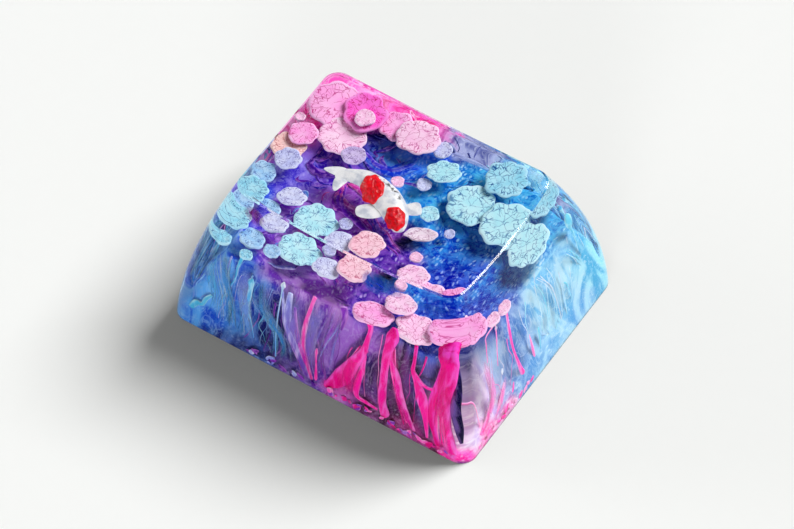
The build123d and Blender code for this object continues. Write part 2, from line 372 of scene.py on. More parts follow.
def wall_flow(tree, place, tint):
    """Colours of the walls of pigment: broad smoke, long wisps and a little froth."""
    fall = scaled_place(tree, place, 1.0, 1.0, 0.22)
    broad = cloud(tree, fall, 330.0, detail=5.0, distortion=2.6)
    colour = shades(tree, between(tree, broad, 0.38, 0.62), tint, 1.8, 0.64)
    wisps = thin_lines(tree, cloud(tree, fall, 560.0, detail=3.0, distortion=1.8), 0.022, 0.5)
    fine_wisps = thin_lines(tree, cloud(tree, fall, 1500.0, distortion=1.2), 0.024, 0.3)
    froth = between(tree, cloud(tree, place, 1000.0, detail=5.0, distortion=2.8), 0.56, 0.70, 0.0, 0.6)
    light = highest(tree, highest(tree, wisps, fine_wisps), froth)
    return blend_colours(tree, light, colour, milky(tree, tint, 0.2))


def ink_bed_material():
    """Flowing inks: folds and small dabs on the pond bed, smoke and wisps down the walls."""
    material, tree, shader = start_material("ink_bed", PIGMENT_ROUGHNESS, 0.0)
    place = object_place(tree)
    tint = attribute(tree, "tint", "Color")
    on_bed = between(tree, facing_up(tree), 0.45, 0.75)
    colour = blend_colours(tree, on_bed, wall_flow(tree, place, tint), bed_flow(tree, place, tint))
    tree.links.new(colour, shader.inputs["Base Color"])
    return material


def dark_base_material():
    """Dark cast resin of the hollow base, with a slow swirl of violet."""
    material, tree, shader = start_material("dark_base")
    place = object_place(tree)
    swirl = cloud(tree, place, 260.0, detail=5.0, distortion=1.8)
    colour = blend_colours(tree, between(tree, swirl, 0.35, 0.7), srgb(34, 22, 70), srgb(92, 44, 140))
    tree.links.new(colour, shader.inputs["Base Color"])
    grain = cloud(tree, place, 5200.0)
    tree.links.new(between(tree, grain, 0.3, 0.7, 0.34, 0.5), shader.inputs["Roughness"])
    add_bump(tree, shader, grain, 0.05, 0.00002)
    return material


def pad_cracks(tree, local):
    """Cracks between the cells of a pad, broken here and there."""
    bend = vector_math(tree, "SUBTRACT", cloud(tree, local, 1.9, output="Color"), (0.5, 0.5, 0.5))
    bent = vector_math(tree, "ADD", local, vector_math(tree, "MULTIPLY", bend, (0.6, 0.6, 0.0)))
    cracks = between(tree, edge_distance(tree, bent, 2.7), 0.008, 0.042, 0.8, 0.0)
    return times(tree, cracks, between(tree, cloud(tree, local, 3.4, detail=1.0), 0.36, 0.48))


def pad_strokes(tree, local, reach):
    """Strokes that run in from the rim of a pad."""
    turn = calculate(tree, "ARCTAN2", axis_of(tree, local, "Y"), axis_of(tree, local, "X"))
    inputs = {0: times(tree, turn, 3.2), 1: times(tree, reach, 1.5), 2: axis_of(tree, local, "Z")}
    rays = add_node(tree, "ShaderNodeCombineXYZ", inputs).outputs[0]
    strokes = between(tree, edge_distance(tree, rays, 1.5), 0.011, 0.062, 1.0, 0.0)
    strokes = times(tree, strokes, between(tree, reach, 0.28, 0.5))
    return times(tree, strokes, between(tree, cloud(tree, local, 3.1, detail=1.0), 0.42, 0.52))


def lily_pad_material():
    """Drops of pigment that set in thin cracked discs, paler at the rim."""
    material, tree, shader = start_material("lily_pad", PIGMENT_ROUGHNESS, 0.0)
    tint = attribute(tree, "tint", "Color")
    local = attribute(tree, "pad_place", "Vector")
    flat = vector_math(tree, "MULTIPLY", local, (1.0, 1.0, 0.0))
    reach = add_node(tree, "ShaderNodeVectorMath", {0: flat}, operation="LENGTH").outputs["Value"]
    veins = highest(tree, pad_cracks(tree, local), pad_strokes(tree, local, reach))
    veins = times(tree, veins, between(tree, reach, 0.86, 0.95, 1.0, 0.0))
    mottle = cloud(tree, local, 1.6, detail=3.0)
    body = shades(tree, between(tree, mottle, 0.3, 0.7), tint, 0.8, 0.52)
    body = blend_colours(tree, between(tree, reach, 0.8, 1.0, 0.0, 0.18), body, MILK)
    vein_colour = blend_colours(tree, 1.0, deepened(tree, tint, 2.6), srgb(196, 150, 190), "MULTIPLY")
    tree.links.new(blend_colours(tree, veins, body, vein_colour), shader.inputs["Base Color"])
    return material


def flow_material(name, cover):
    """Pigment that ran down in plumes and threads, streaked along its fall, with painted shade: deeper
    across the middle of each tube and paler at its side edges.
    """
    material, tree, shader = start_material(name, PIGMENT_ROUGHNESS, 0.0)
    fall = scaled_place(tree, object_place(tree), 1.0, 1.0, 0.14)
    streak = cloud(tree, fall, 2600.0, detail=3.0, distortion=0.8)
    middle = attribute(tree, "middle")
    # Painted shade: the middle of each tube is made deeper and its side edges paler, so that the flat tubes
    # look rounded
    depth = calculate(tree, "ADD", times(tree, middle, 0.3), streak)
    colour = shades(tree, between(tree, depth, 0.46, 0.82), attribute(tree, "tint", "Color"), 0.6, 1.7)
    tree.links.new(colour, shader.inputs["Base Color"])
    if cover < 1.0:
        ends = calculate(tree, "SINE", times(tree, attribute(tree, "fall"), math.pi))
        torn = between(tree, streak, 0.3, 0.62, 0.35, 1.0)
        body = times(tree, times(tree, middle, ends), torn)
        tree.links.new(times(tree, body, cover), shader.inputs["Alpha"])
    return material


def koi_material(white, ink):
    """White paint with soft grey shading and a few dark strokes along the back."""
    material, tree, shader = start_material("koi_white", roughness=0.35)
    place = object_place(tree)
    soft = cloud(tree, place, 1500.0, detail=3.0)
    body = blend_colours(tree, between(tree, soft, 0.38, 0.72), white, srgb(186, 192, 206))
    broken = between(tree, cloud(tree, place, 4200.0), 0.46, 0.54)
    marks = times(tree, attribute(tree, "marks"), broken)
    tree.links.new(blend_colours(tree, marks, body, ink), shader.inputs["Base Color"])
    add_bump(tree, shader, soft, 0.25, 0.00006)
    return material


def koi_red_material(red):
    """Thick glossy red paint with small lumps, and painted shade that darkens the red in the hollows
    between them.
    """
    material, tree, shader = start_material("koi_red", roughness=0.1, gloss=0.4)
    lumps = cloud(tree, object_place(tree), 3800.0)
    # Painted shade: the red is darkened where the lumps are low, in the hollows between them
    shaded_hollows = blend_colours(tree, 1.0, red, srgb(214, 150, 160), "MULTIPLY")
    colour = blend_colours(tree, between(tree, lumps, 0.35, 0.65), shaded_hollows, red)
    tree.links.new(colour, shader.inputs["Base Color"])
    add_bump(tree, shader, lumps, 0.6, 0.00012)
    return material


def floor_material(colour):
    """Plain pale paper with the faintest grain."""
    material, tree, shader = start_material("pale_floor", roughness=0.9, gloss=0.0)
    grain = cloud(tree, object_place(tree), 900.0)
    shaded = blend_colours(tree, between(tree, grain, 0.2, 0.8, 0.0, 0.012), colour, srgb(200, 205, 210))
    tree.links.new(shaded, shader.inputs["Base Color"])
    return material


# Shape helpers

FLAT_SHARE = 0.8
RIDGE_STEPS = 8
SUBDIVISIONS = 2


def held(value, low, high):
    """A value held between two limits."""
    return max(low, min(high, value))


def along_side(share, half, corner):
    """How far along its side, and how far in, a point of a rounded rectangle lies."""
    straight = half - corner
    if abs(share) <= FLAT_SHARE:
        return share / FLAT_SHARE * straight, 0.0
    turn = (abs(share) - FLAT_SHARE) / (1 - FLAT_SHARE) * math.pi / 4
    return math.copysign(straight + corner * math.sin(turn), share), corner * (1 - math.cos(turn))


def section_place(square, half_x, half_y, corner):
    """The place in a rounded rectangle that a place in a square from -1 to 1 goes to, ring for ring."""
    ring = max(abs(square.x), abs(square.y))
    if ring == 0:
        return Vector((0.0, 0.0, 0.0))
    if abs(square.x) >= abs(square.y):
        y, inset = along_side(square.y / ring, half_y, corner)
        x = math.copysign(half_x - inset, square.x)
    else:
        x, inset = along_side(square.x / ring, half_x, corner)
        y = math.copysign(half_y - inset, square.y)
    return Vector((ring * x, ring * y, 0.0))


def start_square(segments):
    """A grid whose vertices remember their place in a square from -1 to 1."""
    shape = bmesh.new()
    bmesh.ops.create_grid(shape, x_segments=segments, y_segments=segments, size=1.0)
    square = shape.verts.layers.float_vector.new("square")
    for vert in shape.verts:
        vert[square] = vert.co
    return shape, square


def open_ring(shape):
    """The edges round the open side of a shape."""
    return [edge for edge in shape.edges if edge.is_boundary]


def next_row(shape, edges):
    """Extrudes a ring of edges once and gives the new vertices and the new ring."""
    made = bmesh.ops.extrude_edge_only(shape, edges=edges)["geom"]
    verts = [item for item in made if isinstance(item, bmesh.types.BMVert)]
    fresh = set(verts)
    ring = [item for item in made if isinstance(item, bmesh.types.BMEdge) and set(item.verts) <= fresh]
    return verts, ring


def close_ring(shape, ring):
    """Closes an open ring with one face."""
    bmesh.ops.contextual_create(shape, geom=ring)


def rings(shape, angles, segments, rows):
    """Builds a closed body ring by ring: gives the vertices of each ring, then closes both ends."""
    verts = bmesh.ops.create_circle(shape, segments=segments, radius=1.0)["verts"]
    fresh = set(verts)
    for vert in verts:
        vert[angles] = math.atan2(vert.co.y, vert.co.x)
    first_ring = [edge for edge in shape.edges if edge.verts[0] in fresh]
    ring = first_ring
    yield verts
    for _ in range(rows - 1):
        verts, ring = next_row(shape, ring)
        yield verts
    close_ring(shape, first_ring)
    close_ring(shape, ring)


def make_piece(shape, name, material, slot, replaced=()):
    """Turns a finished shape into a piece that rides on the keycap."""
    bmesh.ops.recalc_face_normals(shape, faces=shape.faces)
    for face in shape.faces:
        face.smooth = True
    mesh = bpy.data.meshes.new(name)
    shape.to_mesh(mesh)
    shape.free()
    mesh.materials.append(material)
    piece = bpy.data.objects.new(name, mesh)
    bpy.context.scene.collection.objects.link(piece)
    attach(piece, "root")
    if replaced:
        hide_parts(*replaced)
    return piece


def subdivide(piece):
    """Rounds a piece off with a subdivision modifier."""
    smooth = piece.modifiers.new("smooth", "SUBSURF")
    smooth.levels = SUBDIVISIONS
    smooth.render_levels = SUBDIVISIONS


def side_half(base, top, bulge, height, corner_height):
    """Half the width of a bulging side at a height above the rim."""
    share = height / corner_height
    return base / 2 + (top - base) / 2 * share + 4 * bulge * share * (1 - share)


def cap_halves(cap, height):
    """Half length and half depth of the clear casting at a height."""
    half_x = side_half(cap.rim_length, cap.top_length, cap.end_bulge, height, cap.corner_height)
    half_y = side_half(cap.rim_depth, cap.top_depth, cap.front_bulge, height, cap.corner_height)
    return half_x, half_y


def base_halves(cap, height, grow=0.0):
    """Half length, half depth and corner radius of the base casting at a height."""
    lean = height * math.tan(cap.draft)
    return tuple(size - lean + grow for size in (cap.base_length / 2, cap.base_depth / 2, cap.base_corner))


def dish_height(cap, place):
    """Height of the dished top over a place."""
    low = cap.corner_height - cap.dish_along - cap.dish_across
    rise_x = cap.dish_along * (place.x / (cap.top_length / 2)) ** 2
    rise_y = cap.dish_across * (place.y / (cap.top_depth / 2)) ** 2
    return low + rise_x + rise_y


def ridge_place(cap, square):
    """Where a side of the cap meets the dished top, for a place on the rim of the square."""
    height = cap.corner_height
    for _ in range(RIDGE_STEPS):
        half_x, half_y = cap_halves(cap, height)
        place = section_place(square, half_x, half_y, cap.edge_radius)
        height = dish_height(cap, place)
    place.z = height
    return place


# Clear casting

TOP_SEGMENTS = 72
SIDE_ROWS = 40
POCKET_ROWS = 6
RIDGE_RING = 0.021
RIDGE_ROW = 0.012
SAME_RING = 1e-4
POCKET_SINK = 0.08 * MM


class KEYCAP_OT_clear_casting(bpy.types.Operator):
    """Cast the clear resin: dished top, bulging sides, and a pocket over the base"""

    bl_idname = "keycap.clear_casting"
    bl_label = "Clear casting"

    def execute(self, context):
        cap = context.scene.keycap_cap
        shape, square = start_square(TOP_SEGMENTS)
        inner_ring = 1 - 2 / TOP_SEGMENTS
        for vert in shape.verts:
            ring = max(abs(vert.co.x), abs(vert.co.y))
            if ring > 0:
                reach = 1.0 if ring > inner_ring + SAME_RING else ring / inner_ring * (1 - RIDGE_RING)
                vert.co = ridge_place(cap, vert.co / ring) * reach
            vert.co.z = dish_height(cap, vert.co)
        ridge = open_ring(shape)
        creases = self.add_walls(shape, square, cap, ridge)
        for edge in creases:
            edge.smooth = False
        facets = bmesh.ops.bevel(
            shape, geom=ridge, offset=cap.ridge_width, segments=1, profile=0.5, affect="EDGES", material=-1
        )["faces"]
        for edge in {edge for facet in facets for edge in facet.edges}:
            if not all(face in facets for face in edge.link_faces):
                edge.smooth = False
        resin = clear_resin_material(cap.refraction)
        make_piece(shape, "clear_casting_dressed", resin, "clear_resin", ["clear_casting"])
        return {"FINISHED"}

    def add_walls(self, shape, square, cap, ridge):
        """The sides down to the rim, then the pocket up to the bed; gives the sharp edges."""
        ring = ridge
        for share in [1 - RIDGE_ROW] + [1 - row / SIDE_ROWS for row in range(1, SIDE_ROWS + 1)]:
            verts, ring = next_row(shape, ring)
            for vert in verts:
                height = ridge_place(cap, vert[square]).z * share
                half_x, half_y = cap_halves(cap, height)
                vert.co = section_place(vert[square], half_x, half_y, cap.edge_radius)
                vert.co.z = height
        creases = list(ring)
        for row in range(POCKET_ROWS + 1):
            height = cap.bed_height * row / POCKET_ROWS
            verts, ring = next_row(shape, ring)
            for vert in verts:
                vert.co = section_place(vert[square], *base_halves(cap, height, -POCKET_SINK))
                vert.co.z = height - (POCKET_SINK if row == POCKET_ROWS else 0.0)
            if row in (0, POCKET_ROWS):
                creases += ring
        close_ring(shape, ring)
        return creases


# Pigment bed over the base casting

# Broad fields of ink on the bed and then round the walls: place along X, Y and Z and reach in
# millimetres, colour
INK_FIELDS = [
    (-7.0, -0.5, 6.3, 2.8, srgb(116, 100, 220)),
    (-6.4, 1.5, 6.3, 2.0, srgb(112, 52, 204)),
    (-3.7, -0.6, 6.3, 2.2, srgb(152, 52, 198)),
    (-2.3, -0.6, 6.3, 1.3, srgb(172, 96, 222)),
    (-3.7, 4.6, 6.3, 2.2, srgb(42, 36, 156)),
    (-8.0, 6.0, 6.3, 3.0, srgb(242, 70, 186)),
    # Painted light: these two blue fields are made brighter to offset the shadow that the pink pads cast on
    # the bed here
    (-1.7, 4.4, 6.3, 2.3, srgb(46, 118, 234)),
    (-1.9, 4.0, 6.3, 1.0, srgb(62, 142, 246)),
    (1.3, 2.8, 6.3, 2.6, srgb(44, 160, 228)),
    (5.8, 5.6, 6.3, 3.2, srgb(42, 158, 220)),
    (4.6, -0.2, 6.3, 2.6, srgb(26, 116, 216)),
    (6.5, -2.6, 6.3, 2.4, srgb(30, 60, 196)),
    (1.9, -3.7, 6.3, 1.8, srgb(104, 48, 188)),
    (1.9, -2.1, 6.3, 0.9, NAVY),
    (0.4, -1.9, 6.3, 1.2, srgb(150, 56, 194)),
    # Painted light: these two violet fields along the bed's front edge are made paler to offset the shadow
    # of the pads over them
    (-4.5, -4.0, 6.3, 2.4, srgb(158, 92, 208)),
    (-1.2, -4.8, 6.3, 1.8, srgb(184, 108, 222)),
    (-5.8, -1.4, 6.3, 1.4, srgb(96, 52, 186)),
    (-8.0, -8.0, 3.6, 3.4, srgb(42, 126, 228)),
    (-4.5, -8.0, 2.5, 2.6, srgb(18, 52, 150)),
    (-1.0, -8.0, 3.6, 2.4, srgb(132, 70, 196)),
    (-2.9, -7.8, 1.2, 1.3, srgb(26, 30, 100)),
    (2.5, -8.0, 3.0, 2.2, srgb(124, 52, 188)),
    (3.5, -7.4, 2.4, 1.2, srgb(52, 22, 70)),
    (6.0, -8.0, 2.4, 2.6, srgb(70, 14, 76)),
    (8.0, -8.0, 4.0, 2.0, srgb(50, 38, 160)),
    (7.8, -7.4, 4.8, 1.1, srgb(34, 24, 104)),
    (8.8, -6.2, 3.4, 1.3, srgb(206, 200, 224)),
    (9.3, -7.0, 1.8, 1.0, srgb(222, 202, 228)),
    (10.0, -5.4, 3.0, 2.0, srgb(230, 212, 246)),
    # Partly painted reflection: these two fields give the right wall its own pale blue and also make it
    # paler to stand in for the whitish haze that the right face reflects
    (10.0, -2.0, 3.5, 3.0, srgb(120, 168, 222)),
    (10.0, 3.0, 3.5, 4.0, srgb(152, 212, 240)),
    (9.0, 8.0, 3.0, 3.4, srgb(100, 200, 232)),
    (5.5, 8.5, 3.0, 3.0, SKY_BLUE),
    (1.0, 8.5, 3.0, 2.8, GREY_LILAC),
    (-4.4, 8.5, 3.0, 3.0, srgb(236, 60, 176)),
    (-9.0, 7.5, 3.0, 3.0, PINK),
    (-10.0, 4.5, 3.0, 3.0, srgb(242, 100, 192)),
    (-10.0, 1.0, 3.0, 2.2, srgb(186, 120, 226)),
    # Painted light: the left wall is made paler here because little lamp light reaches it
    (-10.0, -4.0, 3.0, 3.4, srgb(110, 182, 246)),
    (9.8, -8.4, 0.6, 0.9, HOT_PINK),
    (4.0, -8.6, 0.6, 1.6, srgb(110, 26, 104)),
    (1.4, -8.6, 0.4, 0.9, srgb(190, 66, 176)),
    (-2.5, -8.6, 0.4, 1.2, srgb(70, 40, 140)),
    (-6.5, -8.6, 0.5, 2.0, srgb(28, 50, 140)),
    (7.0, -8.6, 0.5, 1.3, srgb(150, 24, 110)),
    (10.8, -6.0, 0.4, 0.9, srgb(244, 130, 200)),
    (10.8, -3.6, 0.4, 1.0, srgb(240, 150, 206)),
    (10.8, 0.6, 0.6, 2.2, srgb(112, 182, 230)),
    (10.8, 4.8, 0.6, 2.2, srgb(118, 190, 234)),
]
BED_SEGMENTS = 110
WALL_ROWS = 40
EDGE_FADE = 12
SKIN = 0.05 * MM
SKIN_FOOT = 0.02 * MM
SKIN_BACK = 4 * SKIN
FIELD_WARP = 1.1
FIELD_FALL = 2.6
# How much of the clear wall the pigment fills at the bed and lower down, by the turn from +X in degrees
WALL_FILL = [
    (-180, 0.36, 0.72), (-135, 0.30, 0.55), (-110, 0.16, 0.16), (-90, 0.10, 0.10), (-60, 0.10, 0.10),
    (-40, 0.12, 0.12), (-15, 0.26, 0.30), (15, 0.32, 0.42), (45, 0.40, 0.70), (90, 0.42, 0.80),
    (135, 0.44, 0.82), (180, 0.36, 0.72),
]
FULL_ABOVE = 6.0 * MM
FULL_BELOW = 3.6 * MM
FOOT_FILL = 1.0
FOOT_HEIGHT = 1.2 * MM
FOOT_UNEVEN = 0.7
FOOT_RISE = 2.2
FOOT_CURVE = 1.5
WALL_COVER = 0.12 * MM
FOOT_COVER = 0.015 * MM
# Ribbons on the bed: middle along X and Y, least and greatest reach, how many, colours to pick from
RIBBON_SWIRLS = [
    (-2.8, -1.0, 0.3, 2.2, 12, (PURPLE, srgb(208, 92, 206), srgb(126, 62, 210), srgb(236, 130, 206))),
    (-6.0, 1.2, 0.4, 2.4, 18, (VIOLET, PURPLE, srgb(150, 90, 214), srgb(78, 66, 204))),
    (-2.4, 4.0, 0.5, 2.2, 16, (srgb(70, 70, 206), DEEP_BLUE, srgb(150, 100, 214), PURPLE)),
    (0.2, -3.4, 0.4, 2.2, 12, (PURPLE, srgb(110, 60, 196), srgb(196, 92, 204), NAVY)),
    (4.4, 3.4, 0.5, 2.8, 16, (srgb(60, 160, 224), BLUE, DEEP_BLUE, SKY_BLUE)),
    (-5.0, -3.4, 0.4, 2.0, 14, (LILAC, srgb(120, 90, 206), VIOLET, PALE_BLUE)),
]
# Strokes on the bed: how many lie side by side, spread, colours to pick from, then places along X and Y
RIBBON_STROKES = [
    (9, 0.42, (srgb(206, 84, 204), srgb(150, 70, 210), srgb(232, 120, 204), PURPLE), [
        (-4.2, 0.7), (-3.9, -0.5), (-3.2, -1.2), (-2.1, -1.5), (-1.0, -1.9), (-0.4, -2.2)]),
    (4, 0.16, (srgb(232, 110, 190), srgb(206, 84, 204)), [
        (-3.9, 0.8), (-2.9, 0.7), (-2.2, 0.5), (-1.8, 0.2)]),
    (7, 0.36, (srgb(196, 78, 196), srgb(120, 64, 204), srgb(226, 110, 200)), [
        (-1.0, -1.0), (0.1, -1.8), (1.2, -2.3), (2.0, -2.7)]),
    (8, 0.6, (srgb(120, 76, 210), VIOLET, srgb(86, 84, 212)), [
        (-8.0, 1.6), (-6.6, 0.6), (-5.4, 0.9), (-4.6, 1.8)]),
    (7, 0.5, (srgb(64, 90, 216), srgb(120, 76, 210)), [
        (-4.8, 3.2), (-3.4, 2.6), (-2.0, 3.2), (-1.2, 4.4)]),
]
RIBBON_ROWS = 14
RIBBON_MARGIN = 0.3 * MM
# Least and greatest values to pick from: turn of a swirl in radians, drift and half widths in millimetres
SWIRL_SWEEP = (0.7, 1.8)
SWIRL_DRIFT = (-0.7, 0.7)
SWIRL_WIDTH = (0.05, 0.16)
SWIRL_WANDER = 0.8
STROKE_SCATTER = (0.6, 1.2)
STROKE_WIDTH = (0.08, 0.26)
STROKE_WANDER = 0.25
STROKE_STEPS = 4


def ink_colour(place):
    """Colour of the pigment bed at a place, from the broad fields round it."""
    point = place / MM
    warp = noise.noise_vector(point * 0.55) * FIELD_WARP + noise.noise_vector(point * 1.4) * FIELD_WARP / 3
    point = point + warp
    total = 0.0
    mixed = Vector((0.0, 0.0, 0.0))
    for x, y, z, reach, colour in INK_FIELDS:
        gap = (point - Vector((x, y, z))).length / reach
        weight = math.exp(-FIELD_FALL * gap * gap) + 1e-6 / (0.05 + gap)
        mixed += Vector(colour[:3]) * weight
        total += weight
    return (*(mixed / total), 1.0)


def fold_height(place, relief):
    """Height of the folds of pigment at a place."""
    point = place / MM
    broad = noise.fractal(point * 0.55, 1.0, 2.1, 4)
    fine = noise.ridged_multi_fractal(point * 0.9, 1.0, 2.2, 4, 0.9, 2.0)
    return relief * held(0.30 + 0.45 * broad + 0.16 * (fine - 1.0), 0.0, 1.0)


def wall_fill(square, height):
    """Share of the clear wall that the pigment fills at a place on the rim and a height."""
    turn = math.degrees(math.atan2(square.y, square.x))
    fill = WALL_FILL[0][1]
    lower = held((FULL_ABOVE - height) / (FULL_ABOVE - FULL_BELOW), 0.0, 1.0)
    for first, second in zip(WALL_FILL, WALL_FILL[1:]):
        if first[0] <= turn <= second[0]:
            share = (turn - first[0]) / (second[0] - first[0])
            at_bed = first[1] + (second[1] - first[1]) * share
            at_foot = first[2] + (second[2] - first[2]) * share
            fill = at_bed + (at_foot - at_bed) * lower
    swirl = noise.noise(Vector((square.x * 3.3, square.y * 3.3, 0.0)))
    foot = FOOT_HEIGHT * (1 + FOOT_UNEVEN * swirl)
    near_foot = max(0.0, 1 - height / (FOOT_RISE * foot)) ** FOOT_CURVE
    return fill + (FOOT_FILL - fill) * near_foot


def skin_place(cap, square, height):
    """Where the pigment's outer skin lies for a place on the rim of the square and a height."""
    inner = section_place(square, *base_halves(cap, height, SKIN))
    half_x, half_y = cap_halves(cap, height)
    cover = FOOT_COVER + (WALL_COVER - FOOT_COVER) * min(1.0, height / FULL_BELOW)
    outer = section_place(square, half_x - cover, half_y - cover, cap.edge_radius)
    place = inner.lerp(outer, wall_fill(square, height))
    place.z = height
    return place


def lay_ribbon(shape, cap, relief, line, wander, width, colour):
    """Lays a ribbon on the folds of the bed along a flat line in millimetres."""
    half_x, half_y, _ = base_halves(cap, cap.bed_height, -RIBBON_MARGIN)
    path = []
    for flat in line:
        flat = flat + noise.noise_vector(Vector((flat.x * 0.9, flat.y * 0.9, 3.0))).xy * wander
        x = held(flat.x * MM, -half_x, half_x)
        y = held(flat.y * MM, -half_y, half_y)
        level = Vector((x, y, cap.bed_height + SKIN))
        path.append(level + Vector((0.0, 0.0, fold_height(level, relief) + 0.3 * width)))
    last = len(path) - 1
    widths = [width * (0.15 + math.sin(math.pi * row / last)) for row in range(last + 1)]
    foot = Vector(colour[:3]).lerp(Vector(ink_colour(path[-1])[:3]), 0.7)
    tints = faded(colour, foot, last + 1)
    add_flow(shape, path, UP, widths, [size * 0.5 for size in widths], tints)


def swirl_line(middle, reach, start, pick):
    """A flat line that winds round the middle of its swirl."""
    sweep = pick.uniform(*SWIRL_SWEEP) / max(reach, 0.6)
    drift = pick.uniform(*SWIRL_DRIFT)
    line = []
    for row in range(RIBBON_ROWS):
        share = row / (RIBBON_ROWS - 1)
        turn = start + sweep * share
        line.append(middle + Vector((math.cos(turn), math.sin(turn))) * (reach + drift * share))
    return line


def stroke_line(points, spread, pick):
    """A flat line that follows a drawn stroke, a little to one side of it."""
    aside = Vector((pick.uniform(-spread, spread), pick.uniform(-spread, spread)))
    stops = [Vector(point) + aside * pick.uniform(*STROKE_SCATTER) for point in points]
    return smooth_line(stops, STROKE_STEPS)


class KEYCAP_OT_pigment_bed(bpy.types.Operator):
    """Give the base casting its dark resin and lay the folded pigment bed over it"""

    bl_idname = "keycap.pigment_bed"
    bl_label = "Pigment bed"

    def execute(self, context):
        cap = context.scene.keycap_cap
        pond = context.scene.keycap_pond
        noise.seed_set(pond.swirl_seed)
        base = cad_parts["base_casting"]
        base.data.materials.clear()
        base.data.materials.append(dark_base_material())
        shape, square = start_square(BED_SEGMENTS)
        tint = shape.verts.layers.float_color.new("tint")
        for vert in shape.verts:
            ring = max(abs(vert.co.x), abs(vert.co.y))
            place = skin_place(cap, vert.co / ring, cap.bed_height) * ring if ring > 0 else Vector()
            place.z = cap.bed_height + SKIN
            place.z += fold_height(place, pond.relief) * (1 - ring ** EDGE_FADE)
            vert.co = place
        ring = open_ring(shape)
        for row in range(1, WALL_ROWS + 1):
            height = cap.bed_height + (SKIN_FOOT - cap.bed_height) * row / WALL_ROWS
            verts, ring = next_row(shape, ring)
            for vert in verts:
                place = skin_place(cap, vert[square], height)
                out = Vector((place.x / cap.base_length, place.y / cap.base_depth, 0.0)).normalized()
                room = 1 - wall_fill(vert[square], height)
                vert.co = place + out * fold_height(place, pond.relief) * room
        for vert in shape.verts:
            vert[tint] = ink_colour(vert.co)
        self.add_ribbons(cap, pond)
        for height in (SKIN_FOOT, cap.bed_height - SKIN):
            verts, ring = next_row(shape, ring)
            for vert in verts:
                vert.co = section_place(vert[square], *base_halves(cap, height, -SKIN_BACK))
                vert.co.z = height
        close_ring(shape, ring)
        make_piece(shape, "pigment_bed", ink_bed_material(), "dark_resin")
        return {"FINISHED"}

    def add_ribbons(self, cap, pond):
        """Smooth curling ribbons of ink that lie on the bed."""
        shape = bmesh.new()
        pick = random.Random(pond.seed + 1)
        for x, y, least, greatest, count, colours in RIBBON_SWIRLS:
            for _ in range(count):
                reach = pick.uniform(least, greatest)
                start = pick.uniform(0.0, 2 * math.pi)
                colour = pick.choice(colours)
                line = swirl_line(Vector((x, y)), reach, start, pick)
                width = pick.uniform(*SWIRL_WIDTH) * MM
                lay_ribbon(shape, cap, pond.relief, line, SWIRL_WANDER, width, colour)
        for count, spread, colours, points in RIBBON_STROKES:
            for _ in range(count):
                colour = pick.choice(colours)
                line = stroke_line(points, spread, pick)
                width = pick.uniform(*STROKE_WIDTH) * MM
                lay_ribbon(shape, cap, pond.relief, line, STROKE_WANDER, width, colour)
        make_piece(shape, "bed_ribbons", flow_material("ribbon_pigment", 1.0), "dark_resin")


# Lily pads

# Pieces with their slots, and the colours of the pads in each
PAD_GROUPS = {
    "pink_pads": ("pink_pigment", {
        "pink_pad_1": PINK, "pink_pad_2": HOT_PINK, "pink_pad_3": PINK, "pink_pad_4": LIGHT_PINK,
        "pink_pad_5": LIGHT_PINK, "pink_pad_6": LIGHT_PINK, "pink_pad_7": PINK, "pink_pad_8": LIGHT_PINK,
        "pink_bud": LIGHT_PINK, "front_pad_1": LIGHT_PINK, "front_pad_2": PINK, "front_pad_3": LIGHT_PINK,
        "front_pad_4": PINK, "front_pad_5": LIGHT_PINK, "front_pad_6": LIGHT_PINK,
    }),
    "salmon_pads": ("salmon_pigment", {"peach_pad": PEACH, "salmon_pad": SALMON}),
    "lilac_pads": ("lilac_pigment", {
        "lilac_pad_1": PALE_LILAC, "lilac_pad_2": LILAC, "lilac_pad_3": PALE_LILAC, "lilac_pad_4": LILAC,
        "lilac_pad_5": PALE_LILAC, "lilac_pad_6": PALE_LILAC, "lilac_pad_7": LILAC,
    }),
    "blue_pads": ("blue_pigment", {
        "blue_pad_1": PALE_BLUE, "blue_pad_2": CYAN, "blue_pad_3": CYAN, "blue_pad_4": PALE_BLUE,
        "blue_pad_5": CYAN, "blue_pad_6": PALE_BLUE,
    }),
    "cyan_pads": ("cyan_pigment", {
        "cyan_pad_1": PALE_CYAN, "cyan_pad_2": PALE_CYAN, "cyan_pad_3": PALE_CYAN, "cyan_pad_4": PALE_CYAN,
        "cyan_pad_5": CYAN, "cyan_pad_6": PALE_CYAN,
    }),
    "pale_pads": ("pale_pigment", {
        "pale_pad_1": srgb(190, 166, 226), "pale_pad_2": LIGHT_PINK, "pale_pad_3": srgb(236, 206, 226),
    }),
}
PAD_SEGMENTS = 56
# From the underside over the rim to the middle of the top: share of the reach, drop in thicknesses
PAD_PROFILE = [
    (0.35, -1.00), (0.78, -0.96), (0.95, -0.78), (1.00, -0.48), (0.99, -0.22), (0.95, -0.06),
    (0.87, 0.00), (0.72, -0.03), (0.46, -0.10), (0.18, -0.14),
]
PAD_SEED_STEP = 0.73
PAD_SPREAD = 1.12
PAD_SINK = 0.26 * MM
PAD_RIPPLE = 0.05 * MM
LOBE_DEPTH = 0.65
WOBBLE_SHIFT = 0.12
WOBBLE_MOST = 1.05
# How the foot and the neck of a pad's plume are told from the pad
SAME_PLACE = 0.01 * MM
FOOT_SLICE = 0.3 * MM
NECK_ABOVE = 0.5 * MM
NECK_WITHIN = 0.84
# Directions to the right of the picture and away from the camera
PAD_RIGHT = Vector((math.cos(math.radians(CAMERA_AZIMUTH)), math.sin(math.radians(CAMERA_AZIMUTH)), 0.0))
PAD_AWAY = Vector((-PAD_RIGHT.y, PAD_RIGHT.x, 0.0))
AS_IN_CAD = (1.0, 1.0, 0.0, 0.0)
